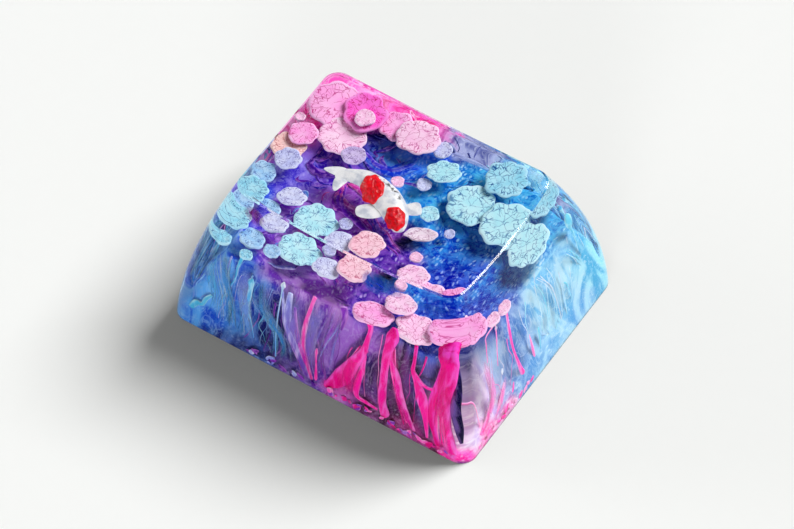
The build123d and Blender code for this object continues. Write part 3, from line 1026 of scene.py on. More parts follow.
# Pads that set wider than the rest: growth to the right and away, then the shift in millimetres
WIDE_PADS = {
    "pink_pad_1": (1.22, 1.22, 0.10, -0.38), "pink_pad_2": (1.16, 1.34, 0.05, -0.40),
    "pink_pad_3": (1.20, 1.22, -0.05, -0.22), "pink_pad_4": (1.12, 1.05, 0.0, -0.08),
    "pink_pad_5": (1.10, 1.0, 0.0, 0.0), "pink_pad_7": (1.28, 1.22, 0.05, -0.05),
    "peach_pad": (1.28, 1.25, 0.12, -0.10), "lilac_pad_3": (1.30, 1.15, 0.0, 0.0),
    "lilac_pad_5": (1.15, 1.05, 0.0, 0.0), "pale_pad_1": (1.30, 1.20, 0.05, 0.0),
    "pale_pad_3": (1.45, 0.80, 0.10, 0.05), "cyan_pad_2": (1.28, 0.98, 0.0, 0.0),
    "cyan_pad_4": (1.08, 1.05, 0.0, 0.0), "cyan_pad_6": (1.14, 1.20, 0.05, -0.15),
    "front_pad_1": (1.12, 0.92, 0.0, 0.0), "front_pad_2": (1.25, 0.98, -0.05, 0.05),
    "front_pad_3": (1.30, 1.28, 0.05, 0.05), "salmon_pad": (1.15, 1.15, 0.08, -0.08),
    "front_pad_5": (1.50, 1.30, -0.25, 0.10), "front_pad_6": (1.30, 1.40, -0.15, 0.10),
}


def middle_of(places):
    """The mean of some places."""
    return sum(places, Vector()) / len(places)


class PadForm:
    """Middle, top height and outline of a pad, read from its CAD solid."""

    def __init__(self, node):
        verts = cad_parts[node].data.vertices
        places = list({tuple(round(axis, 7) for axis in vert.co): vert.co for vert in verts}.values())
        self.top = max(place.z for place in places)
        foot = min(place.z for place in places)
        rim = [place for place in places if place.z > self.top - SAME_PLACE]
        self.middle = middle_of(rim)
        spokes = [place - self.middle for place in rim]
        self.spokes = sorted((math.atan2(spoke.y, spoke.x), spoke.xy.length) for spoke in spokes)
        self.radius = max(reach for _, reach in self.spokes)
        self.foot_middle = middle_of([place for place in places if place.z < foot + FOOT_SLICE])
        neck = [
            place for place in places
            if foot + NECK_ABOVE < place.z < self.top - SAME_PLACE
            and (place - self.middle).xy.length < NECK_WITHIN * self.radius
        ]
        self.neck = middle_of(neck) if neck else None

    def reach(self, turn):
        """Distance from the middle to the outline in one direction, round at the crowns."""
        count = len(self.spokes)
        index = sum(1 for angle, _ in self.spokes if angle <= turn) - 1
        start_angle, start = self.spokes[index % count]
        end_angle, end = self.spokes[(index + 1) % count]
        share = ((turn - start_angle) % (2 * math.pi)) / ((end_angle - start_angle) % (2 * math.pi))
        if end > start:
            reach = start + (end - start) * math.sin(share * math.pi / 2)
        else:
            reach = end + (start - end) * math.cos(share * math.pi / 2)
        return self.radius + (reach - self.radius) * LOBE_DEPTH


def add_pad(shape, layers, form, wide, colour, seed, pond):
    """One lily pad: a thin disc with a lobed outline, a rolled rim and a slight dip in the middle."""
    grow_right, grow_away, shift_right, shift_away = wide
    middle = form.middle + (PAD_RIGHT * shift_right + PAD_AWAY * shift_away) * MM
    angle_layer, place_layer, tint_layer = layers
    for row, verts in enumerate(rings(shape, angle_layer, PAD_SEGMENTS, len(PAD_PROFILE))):
        share, drop = PAD_PROFILE[row]
        for vert in verts:
            turn = vert[angle_layer]
            spoke = Vector((math.cos(turn), math.sin(turn), 0.0))
            uneven = noise.noise(spoke * 1.7 + Vector((0, 0, seed))) - WOBBLE_SHIFT
            local = spoke * share * min(1 + pond.pad_wobble * uneven, WOBBLE_MOST)
            reach = local * form.reach(turn) * PAD_SPREAD
            vert.co = middle + PAD_RIGHT * reach.dot(PAD_RIGHT) * grow_right
            vert.co += PAD_AWAY * reach.dot(PAD_AWAY) * grow_away
            vert.co.z = form.top + drop * pond.pad_thickness
            vert.co.z += PAD_RIPPLE * noise.noise(local * 2.0 + Vector((0, 0, seed * 3.1)))
            vert[place_layer] = (local.x, local.y, seed * 5.3)
            vert[tint_layer] = colour


class KEYCAP_OT_lily_pads(bpy.types.Operator):
    """Float the lily pads over the pond bed, one piece for each colour"""

    bl_idname = "keycap.lily_pads"
    bl_label = "Lily pads"

    def execute(self, context):
        pond = context.scene.keycap_pond
        material = lily_pad_material()
        seed = pond.seed * 0.1
        for group, (slot, pads) in PAD_GROUPS.items():
            shape = bmesh.new()
            layers = (
                shape.verts.layers.float.new("angle"),
                shape.verts.layers.float_vector.new("pad_place"),
                shape.verts.layers.float_color.new("tint"),
            )
            for node, colour in pads.items():
                seed += PAD_SEED_STEP
                add_pad(shape, layers, PadForm(node), WIDE_PADS.get(node, AS_IN_CAD), colour, seed, pond)
            make_piece(shape, group, material, slot, list(pads))
        return {"FINISHED"}


# Plumes and fine strands

OUT = {
    "front": Vector((0.0, -1.0, 0.0)),
    "back": Vector((0.0, 1.0, 0.0)),
    "left": Vector((-1.0, 0.0, 0.0)),
    "right": Vector((1.0, 0.0, 0.0)),
}
HIDDEN_SIDES = ("back", "left")
FLOW_SIDES = 8
FLOW_ROWS = 18
WALL_INSET = 0.9 * MM
# Widths of a plume at its top, middle and foot, and its depth, in shares of its size
PLUME_WIDTHS = (1.25, 0.62, 1.05)
PLUME_DEPTH = 0.62
# Side runs of a plume: how far aside, then its widths in the middle and at the foot, in the same shares
SIDE_RUNS = [(0.9, 0.22, 0.6), (-1.1, 0.14, 0.42), (1.9, 0.10, 0.3)]
RUN_TOP = 0.16
RUN_DEPTH = 0.4
RUN_RISE = 0.25 * MM


def wall_place(cap, side, along, height, share):
    """A place in the clear wall: along its side, and from the base casting (0) to the outside (1)."""
    half_x, half_y = cap_halves(cap, height)
    base_x, base_y, _ = base_halves(cap, height)
    out = OUT[side]
    if out.y:
        y = base_y + (half_y - base_y) * share
        return Vector((along * (half_x - WALL_INSET), out.y * y, height))
    x = base_x + (half_x - base_x) * share
    return Vector((out.x * x, along * (half_y - WALL_INSET), height))


def flow_path(top, foot, out, sway, seed, rows=FLOW_ROWS):
    """A wavering line of fall from the top to the foot."""
    across = (foot - top).cross(out).normalized()
    path = []
    for row in range(rows):
        share = row / (rows - 1)
        loose = math.sin(math.pi * share) ** 0.7
        bend = noise.noise(Vector((seed, share * 1.6, 0.3)))
        bend += 0.4 * noise.noise(Vector((seed, share * 4.5, 7.7)))
        swing = noise.noise(Vector((seed + 31.7, share * 1.8, 1.9)))
        path.append(top.lerp(foot, share) + across * bend * sway * loose + out * swing * sway * 0.3 * loose)
    return path


def add_flow(shape, path, out, widths, depths, tints, sides=FLOW_SIDES):
    """Adds a tube of pigment along a path, with its own width, depth and colour at each step."""
    tube = bmesh.new()
    angle_layer = tube.verts.layers.float.new("angle")
    tint_layer = tube.verts.layers.float_color.new("tint")
    shade_and_cover_layer = tube.verts.layers.float.new("middle")
    fall_layer = tube.verts.layers.float.new("fall")
    last = len(path) - 1
    for row, verts in enumerate(rings(tube, angle_layer, sides, len(path))):
        heading = (path[min(row + 1, last)] - path[max(row - 1, 0)]).normalized()
        across = heading.cross(out).normalized()
        thick = across.cross(heading)
        for vert in verts:
            turn = vert[angle_layer]
            vert.co = path[row] + across * math.cos(turn) * widths[row]
            vert.co += thick * math.sin(turn) * depths[row]
            vert[tint_layer] = tints[row]
            # The flow material paints shade from this value, deeper where it is high and paler at the side
            # edges, and veils fade out with it at their edges
            vert[shade_and_cover_layer] = math.sin(turn) ** 2
            vert[fall_layer] = row / last
    carrier = bpy.data.meshes.new("carrier")
    tube.to_mesh(carrier)
    tube.free()
    shape.from_mesh(carrier)
    bpy.data.meshes.remove(carrier)


def faded(first, second, rows):
    """Colours from the first to the second over a number of rows."""
    start = Vector(first[:3])
    end = Vector(second[:3])
    return [(*start.lerp(end, row / (rows - 1)), 1.0) for row in range(rows)]


def shaped(rows, top, middle, foot):
    """Widths that run from the top through the middle to the foot."""
    sizes = []
    for row in range(rows):
        share = row / (rows - 1)
        near_top = (1 - share) ** 3
        near_foot = share ** 3
        sizes.append(top * near_top + foot * near_foot + middle * (1 - near_top - near_foot))
    return sizes


def add_plume(shape, top, foot, out, size, colours, seed):
    """A thick plume with a flared top, and thin runs beside it."""
    path = flow_path(top, foot, out, size * 1.6, seed)
    rows = len(path)
    tints = faded(*colours, rows)
    ripple = [1 + 0.3 * noise.noise(Vector((seed, row * 0.55, 4.0))) for row in range(rows)]
    smooth = shaped(rows, *(size * share for share in PLUME_WIDTHS))
    widths = [width * wave for width, wave in zip(smooth, ripple)]
    add_flow(shape, path, out, widths, [width * PLUME_DEPTH for width in widths], tints)
    across = (foot - top).cross(out).normalized()
    for run, (aside, middle_width, foot_width) in enumerate(SIDE_RUNS):
        offset = across * size * aside
        start = path[2 + run] + out * size * 0.15
        end = foot + offset * 1.15 + Vector((0, 0, RUN_RISE * run))
        side_path = flow_path(start, end, out, size * 1.3, seed + 3.7 * (run + 1))
        thin = shaped(rows, size * RUN_TOP, size * middle_width, size * foot_width)
        add_flow(shape, side_path, out, thin, [width * RUN_DEPTH for width in thin], tints)


# Plumes that follow their CAD solids: side, family, size in millimetres, colours at top and foot
PLUMES_ON_PADS = {
    "pink_pad_1": ("left", "pink", 0.46, (HOT_PINK, PINK)),
    "pink_pad_3": ("back", "pink", 0.40, (HOT_PINK, MAGENTA)),
    "blue_pad_1": ("left", "blue", 0.36, (SKY_BLUE, BLUE)),
}
FREE_PLUMES = {
    "violet_plume_2": ("back", "violet", 0.28, (srgb(134, 140, 200), GREY_LILAC)),
    "cyan_plume_3": ("back", "cyan", 0.30, (CYAN, SKY_BLUE)),
    "pink_plume": ("left", "pink", 0.30, (PINK, PURPLE)),
}
# Plumes and veils drawn on the walls, by side and family: pad that it hangs from, colours at top and
# foot, then points of place along the side, height and half width, the last two in millimetres
DRAWN_PLUMES = [
    ("front", "pink", [
        ("front_pad_2", HOT_PINK, MAGENTA, [
            (0.33, 6.6, 0.18), (0.32, 6.0, 0.18), (0.30, 5.0, 0.26), (0.25, 4.0, 0.42),
            (0.18, 2.5, 0.60), (0.11, 1.2, 0.52), (0.05, 0.4, 0.30)]),
        (None, HOT_PINK, HOT_PINK, [
            (0.31, 4.7, 0.14), (0.30, 3.4, 0.20), (0.275, 2.2, 0.24), (0.275, 1.2, 0.22),
            (0.35, 1.0, 0.18), (0.43, 0.9, 0.12)]),
        (None, MAGENTA, HOT_PINK, [
            (0.52, 7.6, 0.20), (0.51, 7.0, 0.46), (0.49, 6.3, 0.40), (0.47, 5.1, 0.31),
            (0.46, 3.5, 0.30), (0.46, 1.9, 0.33), (0.48, 0.9, 0.40), (0.47, 0.3, 0.30)]),
        (None, HOT_PINK, ROSE, [
            (0.49, 5.6, 0.12), (0.55, 4.4, 0.30), (0.59, 3.0, 0.32), (0.64, 1.7, 0.26),
            (0.71, 0.4, 0.12)]),
        (None, MAGENTA, HOT_PINK, [
            (0.70, 7.2, 0.14), (0.69, 6.1, 0.13), (0.68, 5.4, 0.16), (0.71, 4.7, 0.30),
            (0.75, 3.7, 0.46), (0.77, 2.9, 0.40), (0.78, 1.9, 0.20), (0.79, 0.7, 0.10)]),
        (None, HOT_PINK, HOT_PINK, [
            (0.69, 5.4, 0.10), (0.75, 4.8, 0.14), (0.81, 4.7, 0.12), (0.88, 5.1, 0.14),
            (0.91, 5.8, 0.12)]),
        ("front_pad_4", MAGENTA, MAGENTA, [
            (0.92, 7.3, 0.42), (0.93, 6.7, 0.32), (0.90, 5.4, 0.46), (0.85, 4.0, 0.46),
            (0.82, 2.7, 0.30), (0.85, 1.3, 0.20), (0.87, 0.4, 0.24)]),
        ("front_pad_4", MAGENTA, HOT_PINK, [
            (0.97, 7.3, 0.40), (0.965, 6.8, 0.32), (0.95, 5.4, 0.28), (0.93, 3.9, 0.30),
            (0.94, 2.5, 0.28), (0.955, 1.2, 0.28), (0.97, 0.4, 0.28)]),
        (None, PINK, ROSE, [
            (-0.13, 6.9, 0.16), (-0.14, 6.1, 0.14), (-0.15, 4.6, 0.19), (-0.14, 3.2, 0.19),
            (-0.10, 1.9, 0.17), (-0.05, 0.5, 0.15)]),
        (None, PINK, HOT_PINK, [
            (-0.04, 3.3, 0.07), (-0.04, 3.0, 0.15), (-0.04, 2.7, 0.09), (-0.03, 1.9, 0.08),
            (-0.02, 0.4, 0.16)]),
    ]),
    ("front", "violet", [
        (None, LILAC, PURPLE, [
            (-0.31, 6.4, 0.18), (-0.29, 4.6, 0.32), (-0.23, 3.3, 0.34), (-0.15, 2.0, 0.32),
            (-0.09, 0.8, 0.26), (-0.06, 0.3, 0.18)]),
        (None, ORCHID, ROSE, [
            (-0.25, 5.6, 0.10), (-0.20, 3.7, 0.19), (-0.14, 2.6, 0.21), (-0.09, 1.3, 0.19),
            (-0.05, 0.3, 0.15)]),
        (None, LILAC, PURPLE, [
            (-0.37, 6.2, 0.06), (-0.33, 5.0, 0.13), (-0.29, 3.8, 0.15), (-0.19, 2.2, 0.15),
            (-0.11, 0.9, 0.12)]),
        (None, ORCHID, PURPLE, [
            (0.10, 7.3, 0.30), (0.12, 6.8, 0.26), (0.12, 6.3, 0.19), (0.11, 5.6, 0.10)]),
    ]),
    ("front", "blue", [
        ("blue_pad_5", CYAN, SKY_BLUE, [
            (-0.74, 6.2, 0.09), (-0.73, 5.4, 0.07), (-0.75, 4.2, 0.08), (-0.77, 2.6, 0.05)]),
        (None, CYAN, PALE_BLUE, [
            (-0.61, 6.0, 0.10), (-0.61, 5.7, 0.27), (-0.60, 5.3, 0.19), (-0.59, 4.7, 0.16),
            (-0.58, 3.6, 0.12), (-0.53, 2.6, 0.05), (-0.49, 1.5, 0.03)]),
        (None, CYAN, PALE_BLUE, [(-0.60, 4.8, 0.09), (-0.60, 3.5, 0.06), (-0.60, 2.4, 0.03)]),
        (None, CYAN, PALE_BLUE, [(-0.585, 4.5, 0.06), (-0.565, 3.3, 0.04), (-0.56, 2.2, 0.03)]),
        (None, MILK, PALE_BLUE, [
            (-0.38, 6.9, 0.06), (-0.38, 6.6, 0.20), (-0.375, 6.25, 0.07), (-0.36, 4.3, 0.05),
            (-0.34, 2.5, 0.05), (-0.32, 0.7, 0.06)]),
        (None, CYAN, CYAN, [
            (-0.96, 1.3, 0.20), (-0.93, 2.0, 0.26), (-0.89, 2.1, 0.16), (-0.87, 2.8, 0.16),
            (-0.84, 3.2, 0.12)]),
    ]),
    ("right", "pink", [
        ("front_pad_6", PINK, HOT_PINK, [
            (-0.22, 6.5, 0.12), (-0.24, 5.3, 0.14), (-0.25, 4.1, 0.11), (-0.24, 2.8, 0.13),
            (-0.19, 1.2, 0.24), (-0.07, 0.5, 0.18)]),
        ("front_pad_5", LIGHT_PINK, PINK, [(-0.57, 6.8, 0.05), (-0.58, 6.2, 0.05), (-0.61, 5.1, 0.03)]),
        ("front_pad_5", LIGHT_PINK, PINK, [
            (-0.40, 6.9, 0.05), (-0.43, 6.1, 0.06), (-0.46, 5.1, 0.05), (-0.48, 4.0, 0.03)]),
    ]),
    ("right", "violet", [
        (None, srgb(40, 28, 110), srgb(58, 26, 96), [
            (-0.92, 7.7, 0.08), (-0.94, 6.4, 0.20), (-0.96, 5.2, 0.28), (-0.98, 3.8, 0.28),
            (-1.00, 2.4, 0.24), (-1.01, 1.4, 0.10)]),
    ]),
    ("right", "pink", [
        # Painted highlights: these two white beads stand in for small glints on bubbles in the right wall
        (None, MILK, MILK, [(-0.405, 6.70, 0.04), (-0.405, 6.50, 0.14), (-0.41, 6.30, 0.04)]),
        (None, MILK, MILK, [(-0.44, 3.50, 0.04), (-0.445, 3.30, 0.14), (-0.45, 3.10, 0.04)]),
        (None, LIGHT_PINK, PINK, [(-0.03, 3.5, 0.03), (-0.03, 2.3, 0.13), (-0.02, 0.5, 0.10)]),
        (None, LIGHT_PINK, HOT_PINK, [
            (-0.63, 3.4, 0.05), (-0.62, 2.5, 0.16), (-0.71, 1.5, 0.22), (-0.84, 0.7, 0.24)]),
        (None, LIGHT_PINK, PINK, [(-0.45, 2.4, 0.05), (-0.50, 1.7, 0.16), (-0.60, 0.7, 0.22)]),
        (None, PINK, HOT_PINK, [(-0.33, 1.5, 0.05), (-0.36, 0.9, 0.16), (-0.42, 0.3, 0.22)]),
    ]),
    ("right", "cyan", [
        (None, MILK, PALE_CYAN, [
            (0.26, 6.9, 0.03), (0.21, 5.7, 0.04), (0.18, 4.1, 0.04), (0.14, 2.5, 0.05)]),
        (None, MILK, PALE_CYAN, [
            (0.53, 5.0, 0.04), (0.50, 3.5, 0.04), (0.48, 2.0, 0.05), (0.45, 0.6, 0.07)]),
        (None, MILK, PALE_CYAN, [(0.34, 5.4, 0.03), (0.30, 4.1, 0.03), (0.26, 2.6, 0.03)]),
        (None, MILK, PALE_CYAN, [
            (0.80, 4.1, 0.08), (0.79, 3.7, 0.15), (0.76, 2.5, 0.09), (0.72, 1.2, 0.08)]),
        (None, MILK, PALE_CYAN, [
            (0.90, 3.5, 0.08), (0.89, 3.2, 0.17), (0.86, 2.0, 0.11), (0.82, 0.9, 0.07)]),
        (None, PALE_CYAN, CYAN, [
            (0.93, 7.9, 0.12), (0.92, 7.5, 0.36), (0.90, 7.1, 0.34), (0.88, 6.7, 0.12),
            (0.86, 5.6, 0.08), (0.84, 4.2, 0.05)]),
        (None, PALE_CYAN, CYAN, [
            (0.09, 3.2, 0.06), (0.09, 3.0, 0.14), (0.07, 1.7, 0.10), (0.02, 0.7, 0.05)]),
    ]),
    ("front", "veil", [
        (None, HOT_PINK, MAGENTA, [
            (0.30, 5.2, 0.2), (0.24, 3.6, 0.6), (0.20, 2.2, 0.8), (0.20, 0.6, 0.7)]),
        (None, MAGENTA, ROSE, [
            (0.52, 6.4, 0.2), (0.54, 4.8, 0.3), (0.57, 3.2, 0.36), (0.62, 1.6, 0.3), (0.66, 0.5, 0.2)]),
        (None, MAGENTA, MAGENTA, [
            (0.94, 7.0, 0.5), (0.92, 5.0, 0.7), (0.90, 3.0, 0.7), (0.92, 0.8, 0.6)]),
        (None, LILAC, ORCHID, [
            (-0.30, 6.4, 0.6), (-0.24, 4.4, 0.7), (-0.16, 2.4, 0.6), (-0.10, 0.7, 0.4)]),
        (None, LILAC, ORCHID, [
            (-0.06, 6.6, 0.5), (-0.10, 4.6, 0.5), (-0.08, 2.6, 0.5), (-0.05, 0.8, 0.3)]),
        (None, PALE_BLUE, SKY_BLUE, [
            (-0.85, 6.5, 0.3), (-0.84, 5.8, 0.4), (-0.77, 4.5, 0.4), (-0.71, 3.1, 0.3),
            (-0.69, 1.6, 0.1)]),
        (None, PALE_BLUE, SKY_BLUE, [
            (-0.52, 5.4, 0.2), (-0.48, 4.4, 0.3), (-0.41, 3.8, 0.4), (-0.32, 3.0, 0.3),
            (-0.27, 2.0, 0.2), (-0.29, 0.7, 0.1)]),
        (None, CYAN, SKY_BLUE, [
            (-0.93, 5.8, 0.2), (-0.92, 5.0, 0.3), (-0.86, 3.8, 0.3), (-0.79, 2.2, 0.1)]),
        (None, LILAC, PALE_BLUE, [
            (-0.66, 6.4, 0.4), (-0.63, 4.6, 0.6), (-0.56, 2.8, 0.4), (-0.50, 1.2, 0.1)]),
        (None, srgb(158, 22, 118), srgb(120, 30, 150), [
            (-0.92, 10.4, 0.2), (-0.84, 10.2, 0.6), (-0.76, 10.0, 0.6), (-0.69, 9.8, 0.2)]),
        # Painted refraction: these three deep blue sheets just under the front ridge stand in for the dark
        # blue view that the front face refracts there
        (None, srgb(30, 130, 210), srgb(14, 84, 190), [
            (0.19, 10.0, 0.3), (0.24, 9.9, 0.7), (0.30, 9.7, 0.8), (0.40, 9.7, 0.6), (0.47, 9.9, 0.3)]),
        (None, srgb(24, 120, 200), srgb(14, 84, 196), [
            (0.22, 10.3, 0.3), (0.29, 10.2, 0.6), (0.38, 10.1, 0.7), (0.50, 10.1, 0.6),
            (0.58, 10.2, 0.3)]),
        (None, srgb(14, 84, 196), srgb(14, 84, 196), [
            (0.66, 9.9, 0.3), (0.74, 9.8, 0.5), (0.84, 9.9, 0.6), (0.94, 10.1, 0.5),
            (1.00, 10.3, 0.3)]),
    ]),
    ("back", "veil", [
        (None, LIGHT_PINK, PINK, [
            (-0.76, 6.4, 0.3), (-0.70, 4.6, 0.6), (-0.66, 2.8, 0.6), (-0.60, 0.8, 0.4)]),
        (None, MAGENTA, HOT_PINK, [
            (-0.35, 6.2, 0.3), (-0.38, 4.4, 0.6), (-0.32, 2.6, 0.5), (-0.30, 0.8, 0.3)]),
        (None, MILK, PALE_CYAN, [
            (0.55, 6.4, 0.3), (0.60, 4.6, 0.6), (0.56, 2.8, 0.6), (0.60, 0.8, 0.4)]),
        (None, PALE_BLUE, SKY_BLUE, [
            (0.86, 6.2, 0.3), (0.82, 4.4, 0.5), (0.86, 2.6, 0.5), (0.84, 0.8, 0.3)]),
    ]),
    ("left", "veil", [
        (None, LIGHT_PINK, HOT_PINK, [
            (0.70, 6.4, 0.3), (0.64, 4.6, 0.6), (0.68, 2.8, 0.6), (0.62, 0.8, 0.4)]),
        (None, MILK, SKY_BLUE, [
            (-0.30, 6.2, 0.3), (-0.36, 4.4, 0.6), (-0.30, 2.6, 0.6), (-0.34, 0.8, 0.4)]),
        (None, CYAN, BLUE, [
            (-0.76, 6.2, 0.3), (-0.70, 4.4, 0.5), (-0.76, 2.6, 0.5), (-0.72, 0.8, 0.3)]),
    ]),
    ("right", "veil", [
        (None, LIGHT_PINK, PINK, [
            (-0.64, 5.5, 0.1), (-0.62, 4.0, 0.3), (-0.61, 2.5, 0.4), (-0.71, 1.5, 0.5),
            (-0.84, 0.6, 0.4)]),
        (None, LIGHT_PINK, PINK, [
            (-0.42, 2.8, 0.1), (-0.48, 1.9, 0.3), (-0.58, 1.0, 0.4), (-0.71, 0.4, 0.4)]),
    ]),
]
# Bundles of fine lines that flow side by side: side, family, colours to pick from, spread along the side,
# how many, then points as above
BUNDLES = [
    ("front", "veil", (LILAC, ORCHID, ROSE, PURPLE), 0.05, 10, [
        (-0.32, 6.5, 0.03), (-0.29, 4.6, 0.06), (-0.23, 3.3, 0.08), (-0.15, 2.0, 0.08),
        (-0.09, 0.8, 0.06), (-0.06, 0.3, 0.05)]),
    ("front", "veil", (LILAC, ORCHID, PURPLE), 0.08, 8, [
        (0.08, 6.9, 0.03), (0.06, 5.6, 0.06), (0.02, 4.0, 0.06), (0.0, 2.0, 0.04)]),
    ("front", "veil", (PALE_BLUE, CYAN, SKY_BLUE, MILK), 0.08, 14, [
        (-0.86, 6.6, 0.02), (-0.82, 5.2, 0.05), (-0.73, 3.4, 0.05), (-0.69, 1.4, 0.03)]),
    ("front", "veil", (PALE_BLUE, CYAN, SKY_BLUE, LILAC), 0.08, 12, [
        (-0.54, 6.0, 0.02), (-0.50, 4.6, 0.05), (-0.42, 3.6, 0.05), (-0.31, 2.6, 0.05),
        (-0.28, 0.8, 0.03)]),
    ("front", "veil", (PALE_BLUE, CYAN, MILK), 0.05, 7, [
        (-0.62, 5.2, 0.02), (-0.61, 4.0, 0.04), (-0.57, 2.8, 0.03), (-0.52, 1.4, 0.02)]),
    ("front", "pink", (HOT_PINK, MAGENTA, PINK), 0.05, 6, [
        (0.30, 5.2, 0.03), (0.22, 3.4, 0.06), (0.12, 1.6, 0.06), (0.06, 0.5, 0.04)]),
    ("front", "pink", (HOT_PINK, MAGENTA, PINK), 0.03, 6, [
        (0.51, 6.2, 0.03), (0.53, 4.6, 0.06), (0.57, 2.8, 0.06), (0.64, 0.6, 0.04)]),
    ("front", "pink", (HOT_PINK, MAGENTA, PINK), 0.05, 7, [
        (0.93, 6.8, 0.04), (0.90, 5.0, 0.07), (0.87, 3.0, 0.07), (0.89, 0.6, 0.05)]),
    ("right", "cyan", (MILK, PALE_CYAN), 0.14, 6, [
        (0.30, 6.4, 0.02), (0.36, 4.8, 0.03), (0.33, 2.8, 0.03), (0.28, 1.0, 0.02)]),
    ("right", "cyan", (MILK, PALE_CYAN), 0.12, 5, [
        (0.70, 5.8, 0.02), (0.77, 4.2, 0.03), (0.74, 2.6, 0.03), (0.68, 0.9, 0.02)]),
    ("right", "veil", (LIGHT_PINK, PINK, MILK), 0.07, 8, [
        (-0.62, 5.6, 0.02), (-0.62, 3.8, 0.05), (-0.65, 2.2, 0.06), (-0.78, 0.8, 0.06)]),
    ("left", "blue", (PALE_BLUE, CYAN, SKY_BLUE), 0.20, 14, [
        (-0.60, 6.4, 0.02), (-0.56, 4.6, 0.06), (-0.62, 2.6, 0.05), (-0.60, 0.8, 0.04)]),
    ("left", "pink", (HOT_PINK, PINK, LIGHT_PINK), 0.18, 12, [
        (0.60, 6.4, 0.03), (0.64, 4.6, 0.07), (0.58, 2.6, 0.06), (0.60, 0.8, 0.05)]),
    ("back", "pink", (HOT_PINK, PINK, MAGENTA), 0.20, 14, [
        (-0.60, 6.4, 0.03), (-0.56, 4.6, 0.07), (-0.62, 2.6, 0.06), (-0.60, 0.8, 0.05)]),
    ("back", "cyan", (CYAN, PALE_CYAN, SKY_BLUE), 0.20, 12, [
        (0.60, 6.4, 0.02), (0.64, 4.6, 0.06), (0.58, 2.6, 0.05), (0.60, 0.8, 0.04)]),
]
# Lumps at the foot of a wall: side, from and to along it, how many, family, colours to pick from
LUMPS = [
    ("front", -0.55, 0.0, 16, "violet", (PURPLE, ORCHID, LILAC, VIOLET)),
    ("front", 0.0, 0.98, 34, "pink", (HOT_PINK, ROSE, MAGENTA, PINK, ORCHID)),
    ("right", -0.98, -0.1, 18, "pink", (HOT_PINK, PINK, LIGHT_PINK)),
    ("back", -0.98, -0.05, 16, "pink", (HOT_PINK, PINK, ROSE)),
    ("back", 0.30, 0.98, 10, "cyan", (CYAN, SKY_BLUE, PALE_CYAN)),
    ("left", -0.98, 0.98, 24, "blue", (SKY_BLUE, PALE_BLUE, LILAC)),
]
# Strands: side, from and to along it, how many, family, colours to pick from, usual thickness
STRANDS = [
    ("front", -0.98, -0.42, 16, "blue", (CYAN, PALE_BLUE, SKY_BLUE, LILAC), 0.3),
    ("front", -0.50, 0.10, 9, "violet", (PURPLE, LILAC, ORCHID), 0.35),
    ("front", 0.05, 0.98, 6, "pink", (MAGENTA, HOT_PINK, PINK), 0.35),
    ("right", -0.95, -0.30, 5, "pink", (LIGHT_PINK, PINK, MILK), 0.3),
    ("right", -0.30, 0.98, 12, "cyan", (MILK, PALE_CYAN, HAZE), 0.3),
    ("back", -0.98, -0.10, 13, "pink", (HOT_PINK, PINK, MAGENTA, LIGHT_PINK), 0.7),
    ("back", -0.10, 0.30, 4, "violet", (srgb(134, 140, 200), srgb(104, 114, 182)), 0.5),
    ("back", 0.25, 0.98, 10, "cyan", (CYAN, SKY_BLUE, PALE_CYAN, MILK), 0.5),
    ("left", 0.25, 0.98, 12, "pink", (HOT_PINK, PINK, LIGHT_PINK), 0.7),
    ("left", -0.15, 0.35, 6, "violet", (LILAC, PURPLE, ORCHID), 0.6),
    ("left", -0.98, -0.10, 12, "blue", (CYAN, PALE_BLUE, SKY_BLUE, BLUE), 0.6),
]
# Pieces made of the flows of each family, with their slots, and the solids that drawn plumes stand for
FLOW_FAMILIES = {
    "pink": ("pink_plumes", "pink_pigment", []),
    "blue": ("blue_plumes", "blue_pigment", ["blue_plume_1", "blue_plume_2"]),
    "cyan": ("cyan_plumes", "cyan_pigment", ["cyan_plume_1", "cyan_plume_2"]),
    "violet": ("violet_plumes", "violet_pigment", ["violet_plume_1"]),
    "veil": ("veils", "pale_pigment", []),
}
VEIL_COVER = 0.75
SEED_STEP = 5.1
# Layers of the wall: share of the way out, then the greatest depth of a flow there in millimetres
MIDDLE_LAYER = (0.58, 0.22)
HIDDEN_LAYER = (0.84, 0.10)
LUMP_LAYER = (0.9, 0.08)
DRAWN_SIDES = 12
DRAWN_STEPS = 6
DRAWN_DEPTH = 0.6
DRAWN_LEAST = 0.02 * MM
DRAWN_RIPPLE = 0.12
DRAWN_SWAY = 0.24
# Least and greatest values to pick from, heights and sizes in millimetres
BUNDLE_LIFT = (-0.2, 0.2)
BUNDLE_WIDTH = (0.5, 1.5)
LUMP_SIZE = (0.08, 0.26)
LUMP_HEIGHT = (0.25, 0.7)
LUMP_LEAN = (-0.03, 0.03)
STRAND_TOP = (3.6, 6.9)
STRAND_FOOT = (0.3, 1.3)
STRAND_LEAN = (-0.10, 0.10)
STRAND_SWAY = (0.3, 0.9)
SEEDS = (0, 90)
LUMP_LOWEST = 0.12
STRAND_ROWS = 20
BEAD_CHANCE = 0.25
# Share of the way out for a strand, and how far along its side its foot may lie
STRAND_NEAR = 0.5
HIDDEN_STRAND_NEAR = 0.82
STRAND_LIMIT = 0.97


def smooth_line(points, steps):
    """A flowing line through points, with a number of steps between each two."""
    line = []
    last = len(points) - 1
    for index in range(last):
        before = points[max(index - 1, 0)]
        start = points[index]
        end = points[index + 1]
        after = points[min(index + 2, last)]
        for step in range(steps):
            share = step / steps
            bend = (end - before) * 0.5 * (share - 2 * share ** 2 + share ** 3)
            bend += (after - start) * 0.5 * (share ** 3 - share ** 2)
            from_start = 1 - 3 * share ** 2 + 2 * share ** 3
            from_end = 3 * share ** 2 - 2 * share ** 3
            line.append(start * from_start + end * from_end + bend)
    line.append(points[-1])
    return line


